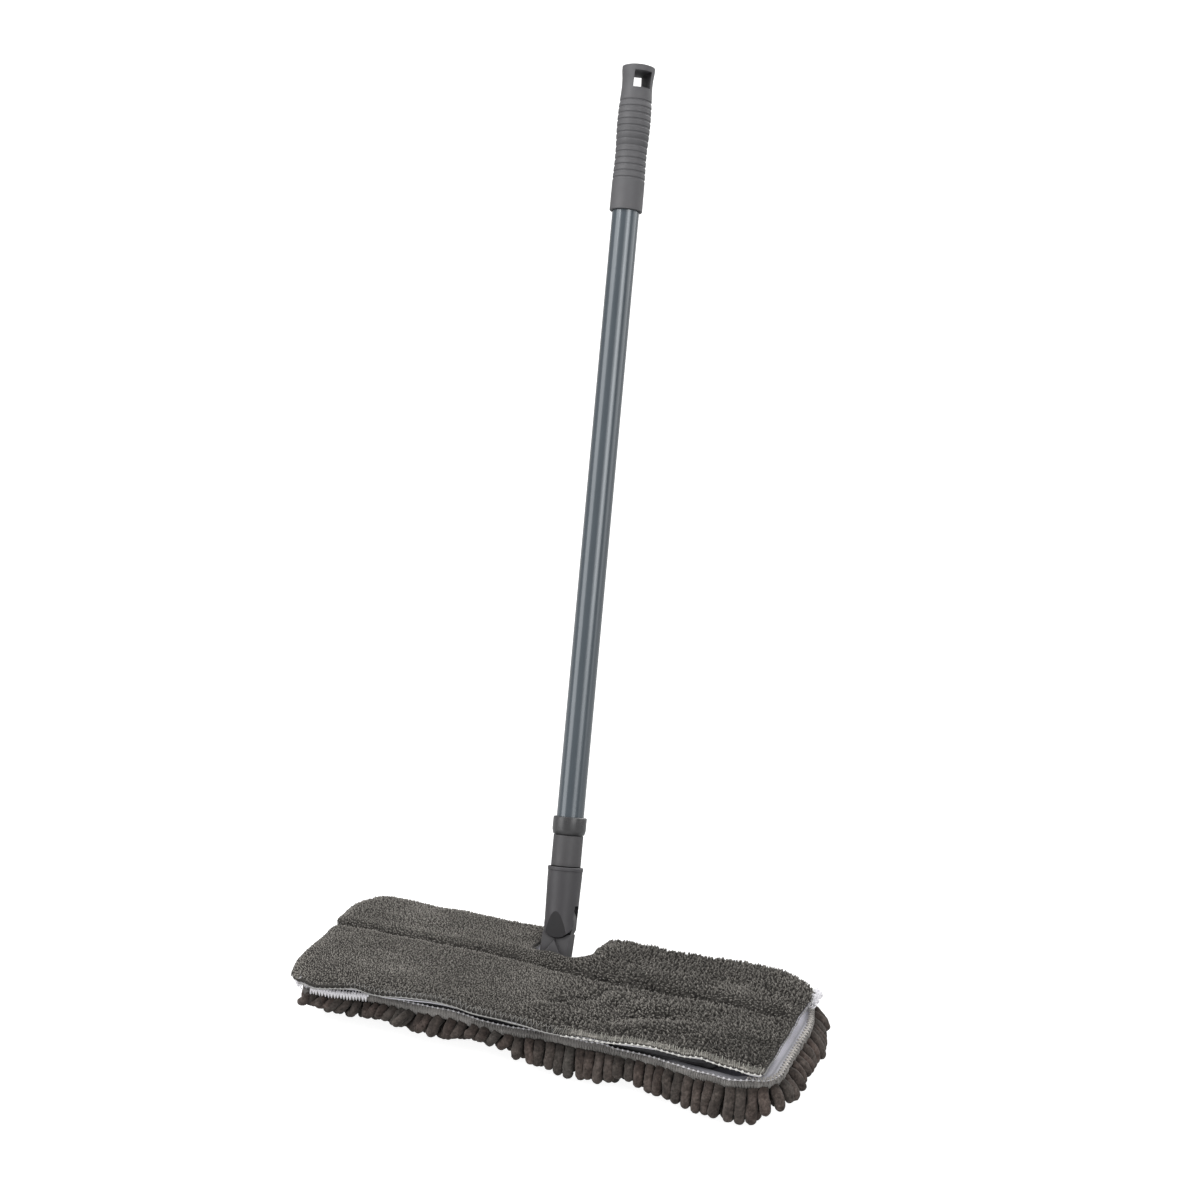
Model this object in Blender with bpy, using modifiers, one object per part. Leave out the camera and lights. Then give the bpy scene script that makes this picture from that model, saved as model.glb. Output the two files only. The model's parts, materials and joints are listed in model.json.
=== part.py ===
"""Double-sided flip mop: a telescopic twist-lock pole, a two-axis neck and a flat head in a plush and chenille cover.

Frame: +Z up, X along the head, +Y towards the hinge side of the head, which is called the back.
The origin is on the floor under the middle of the head plate. Units are metres; the constants
are in millimetres and MM converts them.
"""

import math

import bmesh
import bpy
import numpy as np
from mathutils import Matrix, Vector

MM = 0.001
GAP = 0.3  # between pieces that touch on the real object
THROUGH = 20.0  # reach of a cutter that passes right through a piece, from the middle
OVERRUN = 5.0  # how far a cutter runs on past an open end
SHARP_ANGLE = math.radians(35)

# Rest pose of the pole
LEAN_BACK = math.radians(23.5)  # about X, at the head hinge
LEAN_SIDE = math.radians(-3.6)  # about the fork pin
GRIP_TURN = math.radians(42.0)  # the hang hole's turn about the pole

# Head plate, measured from the floor up
PLATE_X, PLATE_Y0, PLATE_Y1 = 171.0, -56.0, 70.0  # half length, front edge, back edge
PLATE_R = 16.0
PART_Z = 35.2  # parting plane of the two plate shells, and the hinge's height
PLATE_HALF = 4.0
SKIN = 1.8  # wall of the shells
NOTCH_X, NOTCH_Y, NOTCH_R = 27.0, 17.0, 6.0  # half width, inner end and corner radius
MOUTH_R = 4.0  # rounding where a notch opens
RIB_XS = (-145, -97, -50, 50, 97, 145)
RIB_HALF, RIB_INSET, SPINE_Y = 0.9, 1.0, -20.0
HINGE_Y = 38.0
HINGE_PIN_R = 2.5
LUG_X0, LUG_X1, LUG_R = 12.4, 19.0, 6.6
LUG_WEB_ROOT = 3.0  # how far the lugs' webs reach in front of the notch's inner end
LUG_CUT_Y = 12.0  # half width of the cutter that halves a lug
PIN_HOLE_REACH = 25.0
PIN_CLEARANCE = 0.35  # radial, in the plate and the fork
KNUCKLE_CLEARANCE = 0.1  # radial, round both pins in the knuckle

# Plate screws
SCREWS = [(-158, 10), (-90, 46), (-90, -42), (90, 46), (90, -42), (158, 10)]  # (x, y)
BOSS_R, SCREW_HOLE_R, SCREW_SEAT_R = 4.2, 1.9, 3.4
SCREW_HEAD = 1.6  # top of the head, above the plate's lower face
PILOT_ROOF = 0.9  # left above the pilot holes in the upper shell
# (radius, height above the plate's lower face)
SCREW_PROFILE = [
    (0, 6.6), (0.7, 6.6), (1.5, 5.6), (1.5, SCREW_HEAD),
    (3.0, SCREW_HEAD), (3.0, 0.9), (2.2, 0.25), (0, 0.25),
]

# Hook tape
TAPE, TAPE_X0, TAPE_X1 = 1.0, 45, 160  # thickness, and ends either side of the middle
TAPE_UPPER_Y = (-44, -24)
TAPE_LOWER_Y = (-24, -4)  # clear of the screw seats, which open on this face

# Cover
COVER_X0, COVER_X1, COVER_Y0, COVER_Y1 = -180.0, 216.0, -77.0, 78.0
COVER_NOTCH_X0, COVER_NOTCH_X1, COVER_NOTCH_Y, COVER_NOTCH_R = -24.5, 33.0, 21.0, 9.0
FABRIC, LINING, PLUSH = 2.2, 0.9, 6.8
SHEET_R = 14.0
LINING_INSET, LINING_R = 4.0, 9.0
FOLD_END, FOLD_NOTCH = 12.0, 6.0  # the folds' distance from the cover's ends and its notch
FOLD_Y = (COVER_Y1 - 3, COVER_Y1 - 0.5)
FOLD_RISE = 4.0  # how far the folds reach up from the lining's underside
PILE_LEFT, PILE_RIGHT, PILE_FRONT, PILE_BACK = 6.0, 14.0, 12.0, 6.0  # splay past the sheet
PILE_R, PILE_NOTCH_GROW = 22.0, 1.0

UPPER_COVER_Z = PART_Z + PLATE_HALF + GAP + TAPE + GAP
LOWER_COVER_Z = PART_Z - PLATE_HALF - GAP - TAPE - GAP

# Knuckle
FORK_PIN_UP = 38.6  # fork pin above the hinge pin
FORK_R, SLOT, TONGUE, TONGUE_R = 13.0, 4.4, 4.0, 12.4  # slot and tongue are half thicknesses
FORK_PIN_R = 2.4
BARREL_R, BARREL_X = LUG_R, 11.6  # radius and half length
BODY_X, BODY_TOP = 11.5, FORK_PIN_UP - 9.4
SADDLE_CLEARANCE = 0.6
SHANK_X, SHANK_LOW = 11.4, 12  # half width and lower end of the tongue's straight part

# Neck and pole, measured from the fork pin along the pole
FORK_PIN_Y0, FORK_PIN_Y1 = -9.0, 10.6
FORK_FLAT_Y, FORK_FLAT_SLOPE = 11.4, 0.22  # half depth at the fork pin, and its growth per mm up
FORK_FLAT_LOW, FORK_FLAT_TOP, FORK_FLAT_OUT = -30, 14, 30
SOCKET_TOP, SOCKET_BORE_R, SOCKET_BORE_LOW = 43.3, 10.7, 15.6
ADAPTER_TOP = 68.7
THREAD_PITCH, THREAD_TURNS, THREAD_ROOT_R, THREAD_R = 3.0, 8, 9.4, 10.35
THREAD_TOP = SOCKET_TOP - 1.5
ADAPTER_GROOVE_TOP = 80.0
COLLAR_TOP = 83.3
TUBE_R, TUBE_WALL = 11.0, 0.6
TUBE_LOW, TUBE_TOP = 72.0, 662.0
INNER_R, INNER_WALL = 9.5, 0.6
INNER_LOW, INNER_TOP = 46.0, 572.0
SLEEVE_LOW = INNER_TOP + 9
SLIT_HALF, SLIT_TOP = 1.0, 30.0  # the slit's top is above SLEEVE_LOW
GRIP_LOW, GRIP_TOP = 575.0, 695.5
GRIP_BORE_END = 0.5  # beyond the outer tube's end
HANG_HOLE_X = 7.3
HANG_HOLE_Z = (GRIP_TOP - 20.3, GRIP_TOP - 6.6)

# Grip side: (height above its lower end, radius)
GRIP_SHAPE = [
    (0, 13.35), (20, 13.4), (28, 13.2), (42, 12.85), (52, 12.95), (62, 13.45),
    (72, 13.75), (84, 13.5), (94, 12.8), (103, 12.45), (109, 12.7), (115, 13.4),
]
GROOVE_FIRST, GROOVE_PITCH, GROOVE_COUNT = 26.0, 5.3, 13
GROOVE_DEPTH, GROOVE_HALF, GROOVE_FLOOR_HALF = 0.55, 1.1, 0.35
GRIP_UPPER_STATIONS = (97.5, 103, 109, 115, 118.5)  # heights of the plain points above the grooves

# name: (linear RGB, roughness, metallic)
COLOURS = {
    "grip_plastic": ((0.135, 0.132, 0.135), 0.55, 0.0),
    "pole_paint": ((0.12, 0.145, 0.175), 0.32, 0.35),
    "inner_steel": ((0.62, 0.63, 0.65), 0.25, 1.0),
    "dark_plastic": ((0.075, 0.074, 0.076), 0.4, 0.0),
    "neck_plastic": ((0.1, 0.098, 0.105), 0.45, 0.0),
    "plate_plastic": ((0.17, 0.17, 0.175), 0.5, 0.0),
    "pin_steel": ((0.6, 0.6, 0.6), 0.3, 1.0),
    "hook_tape": ((0.05, 0.05, 0.05), 0.85, 0.0),
    "plush": ((0.125, 0.118, 0.108), 0.95, 0.0),
    "lining": ((0.72, 0.72, 0.76), 0.9, 0.0),
    "chenille": ((0.1, 0.088, 0.08), 0.95, 0.0),
}

# ---------------------------------------------------------------- scene, materials and axes
for old in list(bpy.data.objects):
    bpy.data.objects.remove(old, do_unlink=True)

mop = bpy.data.collections.new("flat_mop")
cutters = bpy.data.collections.new("cutters")
bpy.context.scene.collection.children.link(mop)
bpy.context.scene.collection.children.link(cutters)


def make_material(name, colour, roughness, metallic):
    material = bpy.data.materials.new(name)
    material.use_nodes = True
    shader = material.node_tree.nodes["Principled BSDF"]
    shader.inputs["Base Color"].default_value = (*colour, 1)
    shader.inputs["Roughness"].default_value = roughness
    shader.inputs["Metallic"].default_value = metallic
    return material


materials = {name: make_material(name, *look) for name, look in COLOURS.items()}


def empty(name, matrix):
    obj = bpy.data.objects.new(name, None)
    mop.objects.link(obj)
    obj.matrix_world = matrix
    return obj


# Turns that lay a piece built along Z along X or Y
ALONG_X = Matrix.Rotation(math.radians(90), 4, "Y")
ALONG_Y = Matrix.Rotation(math.radians(-90), 4, "X")

hinge = Matrix.Translation(Vector((0, HINGE_Y, PART_Z)) * MM)
along_hinge = hinge @ ALONG_X
to_fork_pin = Matrix.Translation((0, 0, FORK_PIN_UP * MM))
knuckle_matrix = hinge @ Matrix.Rotation(-LEAN_BACK, 4, "X")
pole_matrix = knuckle_matrix @ to_fork_pin @ Matrix.Rotation(LEAN_SIDE, 4, "Y")
hinge_empty = empty("head_hinge_axis", knuckle_matrix)
pole_empty = empty("pole_axis", pole_matrix)
grip_empty = empty("grip_axis", pole_matrix @ Matrix.Rotation(GRIP_TURN, 4, "Z"))


# ---------------------------------------------------------------- makers
# Spans are (low, high) pairs. A piece made without a material is a cutter or a part to be joined.
def about(half, middle=0.0):
    return middle - half, middle + half


def link(name, mesh, material, parent):
    obj = bpy.data.objects.new(name, mesh)
    if material:
        mop.objects.link(obj)
        mesh.materials.append(materials[material])
    else:
        cutters.objects.link(obj)
        obj.hide_render = True
        obj.display_type = "WIRE"
    if parent:
        obj.parent = parent
    return obj


def from_bmesh(name, bm, material=None, parent=None, smooth=False):
    bmesh.ops.recalc_face_normals(bm, faces=bm.faces)
    mesh = bpy.data.meshes.new(name)
    bm.to_mesh(mesh)
    bm.free()
    if smooth:
        mesh.shade_smooth()
        mesh.set_sharp_from_angle(angle=SHARP_ANGLE)
    return link(name, mesh, material, parent)


def box(name, x_span, y_span, z_span, material=None, parent=None):
    low, high = zip(x_span, y_span, z_span)
    size = Vector([b - a for a, b in zip(low, high)]) * MM
    middle = Vector([a + b for a, b in zip(low, high)]) * MM / 2
    bm = bmesh.new()
    bmesh.ops.create_cube(bm, size=1.0)
    place = Matrix.Translation(middle) @ Matrix.Diagonal((*size, 1))
    bmesh.ops.transform(bm, matrix=place, verts=bm.verts)
    return from_bmesh(name, bm, material, parent)


def cylinder(name, radius, span, matrix=None, material=None, parent=None, segments=32):
    """A cylinder along Z, then moved by the matrix."""
    low, high = span
    bm = bmesh.new()
    bmesh.ops.create_cone(
        bm,
        cap_ends=True,
        segments=segments,
        radius1=radius * MM,
        radius2=radius * MM,
        depth=(high - low) * MM,
    )
    bmesh.ops.translate(bm, vec=(0, 0, (low + high) / 2 * MM), verts=bm.verts)
    if matrix is not None:
        bmesh.ops.transform(bm, matrix=matrix, verts=bm.verts)
    return from_bmesh(name, bm, material, parent, smooth=True)


def prism(name, start, end, parent):
    """A solid between two end faces with the same number of corners."""
    bm = bmesh.new()
    start, end = [[bm.verts.new(Vector(p) * MM) for p in face] for face in (start, end)]
    bm.faces.new(start)
    bm.faces.new(end)
    for a in range(len(start)):
        b = (a + 1) % len(start)
        bm.faces.new((start[a], start[b], end[b], end[a]))
    return from_bmesh(name, bm, parent=parent)


def turned(name, profile, material=None, parent=None, segments=32):
    """A (radius, height) profile turned about Z, closed on itself if it stays off the axis."""
    bm = bmesh.new()
    verts = [bm.verts.new((radius * MM, 0, z * MM)) for radius, z in profile]
    for a, b in zip(verts, verts[1:]):
        bm.edges.new((a, b))
    if all(radius > 0 for radius, _ in profile):
        bm.edges.new((verts[-1], verts[0]))
    mesh = bpy.data.meshes.new(name)
    bm.to_mesh(mesh)
    bm.free()
    obj = link(name, mesh, material, parent)
    screw = obj.modifiers.new("Turn", "SCREW")
    screw.axis = "Z"
    screw.angle = math.tau
    screw.steps = screw.render_steps = segments
    screw.use_merge_vertices = True
    screw.merge_threshold = 0.00001
    screw.use_normal_calculate = False
    return obj


def raised(profile, base):
    return [(radius, base + z) for radius, z in profile]


def tube(name, radius, wall, low, top, material=None, segments=32):
    bore = radius - wall
    profile = [(radius, top), (radius, low), (bore, low), (bore, top)]
    return turned(name, profile, material, pole_empty, segments)


def outline(name, points, z_span, material=None, parent=None):
    """A flat outline extruded over z_span: a filled 2D curve, taken as a mesh so it can be cut."""
    low, high = z_span
    curve = bpy.data.curves.new(name, "CURVE")
    curve.dimensions = "2D"
    curve.fill_mode = "BOTH"
    curve.extrude = (high - low) / 2 * MM
    spline = curve.splines.new("POLY")
    spline.points.add(len(points) - 1)
    for point, (x, y) in zip(spline.points, points):
        point.co = (x * MM, y * MM, 0, 1)
    spline.use_cyclic_u = True
    guide = bpy.data.objects.new(name + "_outline", curve)
    bpy.context.scene.collection.objects.link(guide)
    bpy.context.view_layer.update()
    depsgraph = bpy.context.evaluated_depsgraph_get()
    mesh = bpy.data.meshes.new_from_object(guide.evaluated_get(depsgraph))
    bpy.data.objects.remove(guide)
    bm = bmesh.new()
    bm.from_mesh(mesh)
    bpy.data.meshes.remove(mesh)
    bmesh.ops.remove_doubles(bm, verts=bm.verts, dist=1e-6)
    bmesh.ops.translate(bm, vec=(0, 0, (low + high) / 2 * MM), verts=bm.verts)
    return from_bmesh(name, bm, material, parent)


def boolean(target, other, operation):
    modifier = target.modifiers.new(other.name, "BOOLEAN")
    modifier.operation = operation
    modifier.object = other
    modifier.solver = "EXACT"


def cut(target, other):
    boolean(target, other, "DIFFERENCE")


def join(target, other):
    boolean(target, other, "UNION")


def arc(centre_x, centre_y, radius, start, end, steps):
    """Points on an arc; angles in degrees."""
    angles = [math.radians(start + (end - start) * i / steps) for i in range(steps + 1)]
    return [(centre_x + radius * math.cos(a), centre_y + radius * math.sin(a)) for a in angles]


def notched_outline(x_span, y_span, corner_r, notch_span, notch_y, notch_r):
    """A rounded rectangle with a round-cornered notch in its back edge."""
    x0, x1 = x_span
    y0, y1 = y_span
    notch_x0, notch_x1 = notch_span
    left, right = x0 + corner_r, x1 - corner_r
    front, back = y0 + corner_r, y1 - corner_r
    points = arc(left, front, corner_r, 180, 270, 6)
    points += arc(right, front, corner_r, 270, 360, 6)
    points += arc(right, back, corner_r, 0, 90, 6)
    points += arc(notch_x1 + MOUTH_R, y1 - MOUTH_R, MOUTH_R, 90, 180, 3)
    points += arc(notch_x1 - notch_r, notch_y + notch_r, notch_r, 0, -90, 4)
    points += arc(notch_x0 + notch_r, notch_y + notch_r, notch_r, 270, 180, 4)
    points += arc(notch_x0 - MOUTH_R, y1 - MOUTH_R, MOUTH_R, 0, 90, 3)
    points += arc(left, back, corner_r, 90, 180, 6)
    return points


# ---------------------------------------------------------------- head plate
def plate_outline(inset):
    return notched_outline(
        about(PLATE_X - inset),
        (PLATE_Y0 + inset, PLATE_Y1 - inset),
        PLATE_R - inset,
        about(NOTCH_X + inset),
        NOTCH_Y - inset,
        NOTCH_R + inset,
    )


def plate_shell(name, lower):
    """One of the two shells clamped round the hinge pin."""
    sign = -1 if lower else 1

    def band(start, end):
        """The Z span between two distances from the parting plane, on this shell's side."""
        return sorted((PART_Z + sign * start, PART_Z + sign * end))

    full = band(GAP / 2, PLATE_HALF)
    shell = outline(name, plate_outline(0), full, "plate_plastic")
    # hollow from the parting side, leaving the skin and a rim
    hollow_band = band(GAP / 2 - 1, PLATE_HALF - SKIN)
    cut(shell, outline(f"{name}_hollow", plate_outline(SKIN), hollow_band))

    # cross ribs, spine and screw bosses, sunk half way into the skin
    inside = band(GAP / 2, PLATE_HALF - SKIN * 0.5)
    rib_y = (PLATE_Y0 + RIB_INSET, PLATE_Y1 - RIB_INSET)
    for i, x in enumerate(RIB_XS):
        join(shell, box(f"{name}_rib_{i}", about(RIB_HALF, x), rib_y, inside))
    spine_x = about(PLATE_X - RIB_INSET)
    join(shell, box(f"{name}_spine", spine_x, about(RIB_HALF, SPINE_Y), inside))
    screw_places = [Matrix.Translation((x * MM, y * MM, 0)) for x, y in SCREWS]
    for i, place in enumerate(screw_places):
        join(shell, cylinder(f"{name}_boss_{i}", BOSS_R, inside, place, segments=20))

    # half lugs round the hinge pin
    for side in (-1, 1):
        x0, x1 = sorted((side * LUG_X0, side * LUG_X1))
        join(shell, box(f"{name}_web_{side}", (x0, x1), (NOTCH_Y - LUG_WEB_ROOT, HINGE_Y), full))
        lug = cylinder(f"{name}_lug_{side}", LUG_R, (x0, x1), along_hinge)
        far_half = band(GAP / 2, GAP / 2 - THROUGH)
        lug_cut_y = about(LUG_CUT_Y, HINGE_Y)
        cut(lug, box(f"{name}_lug_cut_{side}", (x0 - 1, x1 + 1), lug_cut_y, far_half))
        join(shell, lug)
    pin_hole_r = HINGE_PIN_R + PIN_CLEARANCE
    cut(shell, cylinder(f"{name}_pin_hole", pin_hole_r, about(PIN_HOLE_REACH), along_hinge))

    # screw holes: through and countersunk in the lower shell, blind in the upper
    z0, z1 = full
    start = z0 - OVERRUN
    for i, place in enumerate(screw_places):
        if lower:
            holes = [
                ("clear", SCREW_HOLE_R, z1 + OVERRUN),
                ("seat", SCREW_SEAT_R, z0 + SCREW_HEAD + GAP),
            ]
        else:
            holes = [("pilot", SCREW_HOLE_R, z1 - PILOT_ROOF)]
        for label, radius, end in holes:
            cut(shell, cylinder(f"{name}_{label}_{i}", radius, (start, end), place, segments=20))


def plate_screws():
    profile = raised(SCREW_PROFILE, PART_Z - PLATE_HALF)
    for i, (x, y) in enumerate(SCREWS, 1):
        screw = turned(f"plate_screw_{i}", profile, "pin_steel", segments=16)
        screw.location = (x * MM, y * MM, 0)


def hook_tapes():
    upper = PART_Z + PLATE_HALF + GAP
    lower = PART_Z - PLATE_HALF - GAP
    for label, x_span in (("left", (-TAPE_X1, -TAPE_X0)), ("right", (TAPE_X0, TAPE_X1))):
        upper_z, lower_z = (upper, upper + TAPE), (lower - TAPE, lower)
        box(f"hook_tape_upper_{label}", x_span, TAPE_UPPER_Y, upper_z, "hook_tape")
        box(f"hook_tape_lower_{label}", x_span, TAPE_LOWER_Y, lower_z, "hook_tape")


plate_shell("plate_lower_shell", True)
plate_shell("plate_upper_shell", False)
plate_screws()
cylinder("hinge_pin", HINGE_PIN_R, about(LUG_X1), along_hinge, "pin_steel")
hook_tapes()


# ---------------------------------------------------------------- cover
def layer(name, z_span, material, inset=0.0, corner_r=SHEET_R):
    points = notched_outline(
        (COVER_X0 + inset, COVER_X1 - inset),
        (COVER_Y0 + inset, COVER_Y1 - inset),
        corner_r,
        (COVER_NOTCH_X0, COVER_NOTCH_X1),
        COVER_NOTCH_Y,
        COVER_NOTCH_R,
    )
    return outline(name, points, z_span, material)


def upper_cover():
    lining_top = UPPER_COVER_Z + LINING
    layer("upper_lining", (UPPER_COVER_Z, lining_top), "lining", LINING_INSET, LINING_R)
    sheet_low = lining_top + GAP
    plush = layer("plush_sheet", (sheet_low, sheet_low + FABRIC + PLUSH), "plush")
    # the sewn back edge, where the plush sheet turns down to the lower sheet
    folds = (
        (COVER_X0 + FOLD_END, COVER_NOTCH_X0 - FOLD_NOTCH),
        (COVER_NOTCH_X1 + FOLD_NOTCH, COVER_X1 - FOLD_END),
    )
    fold_z = (LOWER_COVER_Z - LINING, UPPER_COVER_Z + FOLD_RISE)
    for i, x_span in enumerate(folds):
        join(plush, box(f"fold_{i}", x_span, FOLD_Y, fold_z))


def lower_cover():
    lining_low = LOWER_COVER_Z - LINING
    layer("lower_lining", (lining_low, LOWER_COVER_Z), "lining", LINING_INSET, LINING_R)
    sheet_top = lining_low - GAP
    sheet_low = sheet_top - FABRIC
    layer("lower_sheet", (sheet_low, sheet_top), "chenille")
    pile = notched_outline(
        (COVER_X0 - PILE_LEFT, COVER_X1 + PILE_RIGHT),
        (COVER_Y0 - PILE_FRONT, COVER_Y1 + PILE_BACK),
        PILE_R,
        (COVER_NOTCH_X0 - PILE_NOTCH_GROW, COVER_NOTCH_X1 + PILE_NOTCH_GROW),
        COVER_NOTCH_Y - PILE_NOTCH_GROW,
        COVER_NOTCH_R,
    )
    outline("chenille_pile", pile, (0.0, sheet_low - GAP), "chenille")


upper_cover()
lower_cover()


# ---------------------------------------------------------------- neck
def knuckle():
    """Barrel on the hinge pin, with a saddle and a tongue for the fork."""
    on = {"parent": hinge_empty}
    along_fork = to_fork_pin @ ALONG_Y
    through = about(THROUGH)
    body = cylinder("knuckle", BARREL_R, about(BARREL_X), ALONG_X, "neck_plastic", **on)
    join(body, box("knuckle_body", about(BODY_X), about(BARREL_R), (0, BODY_TOP), **on))

    saddle_r = FORK_R + SADDLE_CLEARANCE
    cut(body, cylinder("knuckle_saddle", saddle_r, through, along_fork, segments=48, **on))

    points = arc(0, FORK_PIN_UP, TONGUE_R, 0, 180, 24) + [
        (-TONGUE_R, FORK_PIN_UP - 3),
        (-SHANK_X, FORK_PIN_UP - 9),
        (-SHANK_X, SHANK_LOW),
        (SHANK_X, SHANK_LOW),
        (SHANK_X, FORK_PIN_UP - 9),
        (TONGUE_R, FORK_PIN_UP - 3),
    ]
    tongue = outline("knuckle_tongue", points, about(TONGUE), **on)
    tongue.data.transform(Matrix.Rotation(math.radians(90), 4, "X"))
    join(body, tongue)

    # three-sided gusset on the front and on the back
    for side in (-1, 1):
        root_y = side * 6.0
        root = [(-10.9, root_y, 8.0), (10.9, root_y, 8.0), (0, root_y, FORK_PIN_UP - 13.5)]
        foot_y = side * 9.6
        face = [(-9.3, foot_y, 8.0), (9.3, foot_y, 8.0), (0, side * 9.2, FORK_PIN_UP - 15.2)]
        join(body, prism(f"knuckle_gusset_{side}", root, face, hinge_empty))

    for label, pin_r, matrix in (
        ("hinge", HINGE_PIN_R, ALONG_X),
        ("fork", FORK_PIN_R, along_fork),
    ):
        bore_r = pin_r + KNUCKLE_CLEARANCE
        cut(body, cylinder(f"knuckle_{label}_bore", bore_r, through, matrix, segments=48, **on))


def neck_socket():
    """Socket for the threaded adapter, with the fork at its lower end."""
    on = {"parent": pole_empty}
    through = about(THROUGH)
    profile = [
        (0, SOCKET_TOP), (13.9, SOCKET_TOP), (14.3, SOCKET_TOP - 0.5),
        (14.3, SOCKET_TOP - 2.6), (13.95, SOCKET_TOP - 3.2), (13.9, 34), (13.55, 22),
        (13.35, 12), (FORK_R, 0), (FORK_R, -14), (0, -14),
    ]
    socket = turned("neck_socket", profile, "neck_plastic", segments=40, **on)

    # round the fork's end about the pin
    keep = box("fork_keep", through, through, (0, 60), **on)
    join(keep, cylinder("fork_round", FORK_R, through, ALONG_Y, segments=48, **on))
    boolean(socket, keep, "INTERSECT")
    cut(socket, box("fork_slot", through, about(SLOT), (-30, TONGUE_R + 0.5), **on))

    # sloping flat on the outside of each fork arm
    section = [
        (FORK_FLAT_Y + FORK_FLAT_SLOPE * FORK_FLAT_LOW, FORK_FLAT_LOW),
        (FORK_FLAT_Y + FORK_FLAT_SLOPE * FORK_FLAT_TOP, FORK_FLAT_TOP),
        (FORK_FLAT_OUT, FORK_FLAT_TOP),
        (FORK_FLAT_OUT, FORK_FLAT_LOW),
    ]
    for side in (-1, 1):
        left, right = [[(x, side * y, z) for y, z in section] for x in through]
        cut(socket, prism(f"fork_flat_{side}", left, right, pole_empty))

    bore_span = (SOCKET_BORE_LOW, SOCKET_TOP + OVERRUN)
    cut(socket, cylinder("socket_bore", SOCKET_BORE_R, bore_span, segments=40, **on))
    # the pin goes in from the back and stops blind in the front arm
    pin_span = (FORK_PIN_Y0 - GAP, THROUGH)
    cut(socket, cylinder("fork_bore", FORK_PIN_R + PIN_CLEARANCE, pin_span, ALONG_Y, **on))


def fork_pin():
    span = (FORK_PIN_Y0, FORK_PIN_Y1)
    cylinder("fork_pin", FORK_PIN_R, span, ALONG_Y, "pin_steel", pole_empty, segments=24)


def thread_adapter():
    """Adapter between the inner tube and the socket; its thread is a stack of rings."""
    shoulder = SOCKET_TOP + GAP
    profile = [
        (0, ADAPTER_TOP), (11.7, ADAPTER_TOP), (12.05, ADAPTER_TOP - 0.4),
        (12.05, shoulder + 0.4), (11.7, shoulder), (THREAD_ROOT_R, shoulder),
    ]
    for i in range(THREAD_TURNS):
        z = THREAD_TOP - THREAD_PITCH * i
        profile += [
            (THREAD_ROOT_R, z),
            (THREAD_R, z - 0.8),
            (THREAD_R, z - 1.4),
            (THREAD_ROOT_R, z - 2.2),
        ]
    profile += [(THREAD_ROOT_R, 17.0), (8.6, 16.0), (0, 16.0)]
    adapter = turned("thread_adapter", profile, "neck_plastic", pole_empty, segments=28)
    # the inner tube's end sits in a ring groove, round the adapter's own spigot
    groove_wall = INNER_WALL + 2 * GAP
    groove_low = INNER_LOW - GAP
    cut(adapter, tube("adapter_groove", INNER_R + GAP, groove_wall, groove_low, ADAPTER_GROOVE_TOP))


knuckle()
neck_socket()
fork_pin()
thread_adapter()


# ---------------------------------------------------------------- pole and its twist lock
def lock_spindle():
    profile = [
        (0, SLEEVE_LOW + 27), (5.6, SLEEVE_LOW + 27), (5.6, SLEEVE_LOW + 24),
        (3.6, SLEEVE_LOW + 24), (3.6, SLEEVE_LOW + 14), (6.4, SLEEVE_LOW + 1),
        (6.4, SLEEVE_LOW - 1.5), (9.5, SLEEVE_LOW - 1.5), (9.5, INNER_TOP + GAP),
        (8.5, INNER_TOP + GAP), (8.5, INNER_TOP - 24), (7.6, INNER_TOP - 26),
        (0, INNER_TOP - 26),
    ]
    turned("lock_spindle", profile, "dark_plastic", pole_empty, segments=28)


def lock_sleeve():
    """Sleeve round the spindle's cone, slit down its +X side."""
    profile = [
        (9.3, 23.4), (10.1, 22.4), (10.1, 0), (9.3, -0.8),
        (7.0, -0.8), (7.0, 1), (4.2, 14), (4.2, 23.4),
    ]
    sleeve = turned("lock_sleeve", raised(profile, SLEEVE_LOW), "grip_plastic", pole_empty)
    slit_z = (SLEEVE_LOW - OVERRUN, SLEEVE_LOW + SLIT_TOP)
    cut(sleeve, box("sleeve_slit", (0, THROUGH), about(SLIT_HALF), slit_z, parent=pole_empty))


def lock_collar():
    """Collar round the outer tube's lower end."""
    lip = TUBE_LOW - GAP
    profile = [
        (12.7, COLLAR_TOP), (13.4, COLLAR_TOP - 0.5), (13.5, COLLAR_TOP - 1.6),
        (13.5, COLLAR_TOP - 10.5), (12.7, COLLAR_TOP - 13.6), (12.2, COLLAR_TOP - 14.2),
        (INNER_R + GAP, COLLAR_TOP - 14.2), (INNER_R + GAP, lip),
        (TUBE_R + GAP, lip), (TUBE_R + GAP, COLLAR_TOP),
    ]
    turned("lock_collar", profile, "dark_plastic", pole_empty, segments=36)


def grip_radius(height):
    heights, radii = zip(*GRIP_SHAPE)
    return float(np.interp(height, heights, radii))


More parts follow.
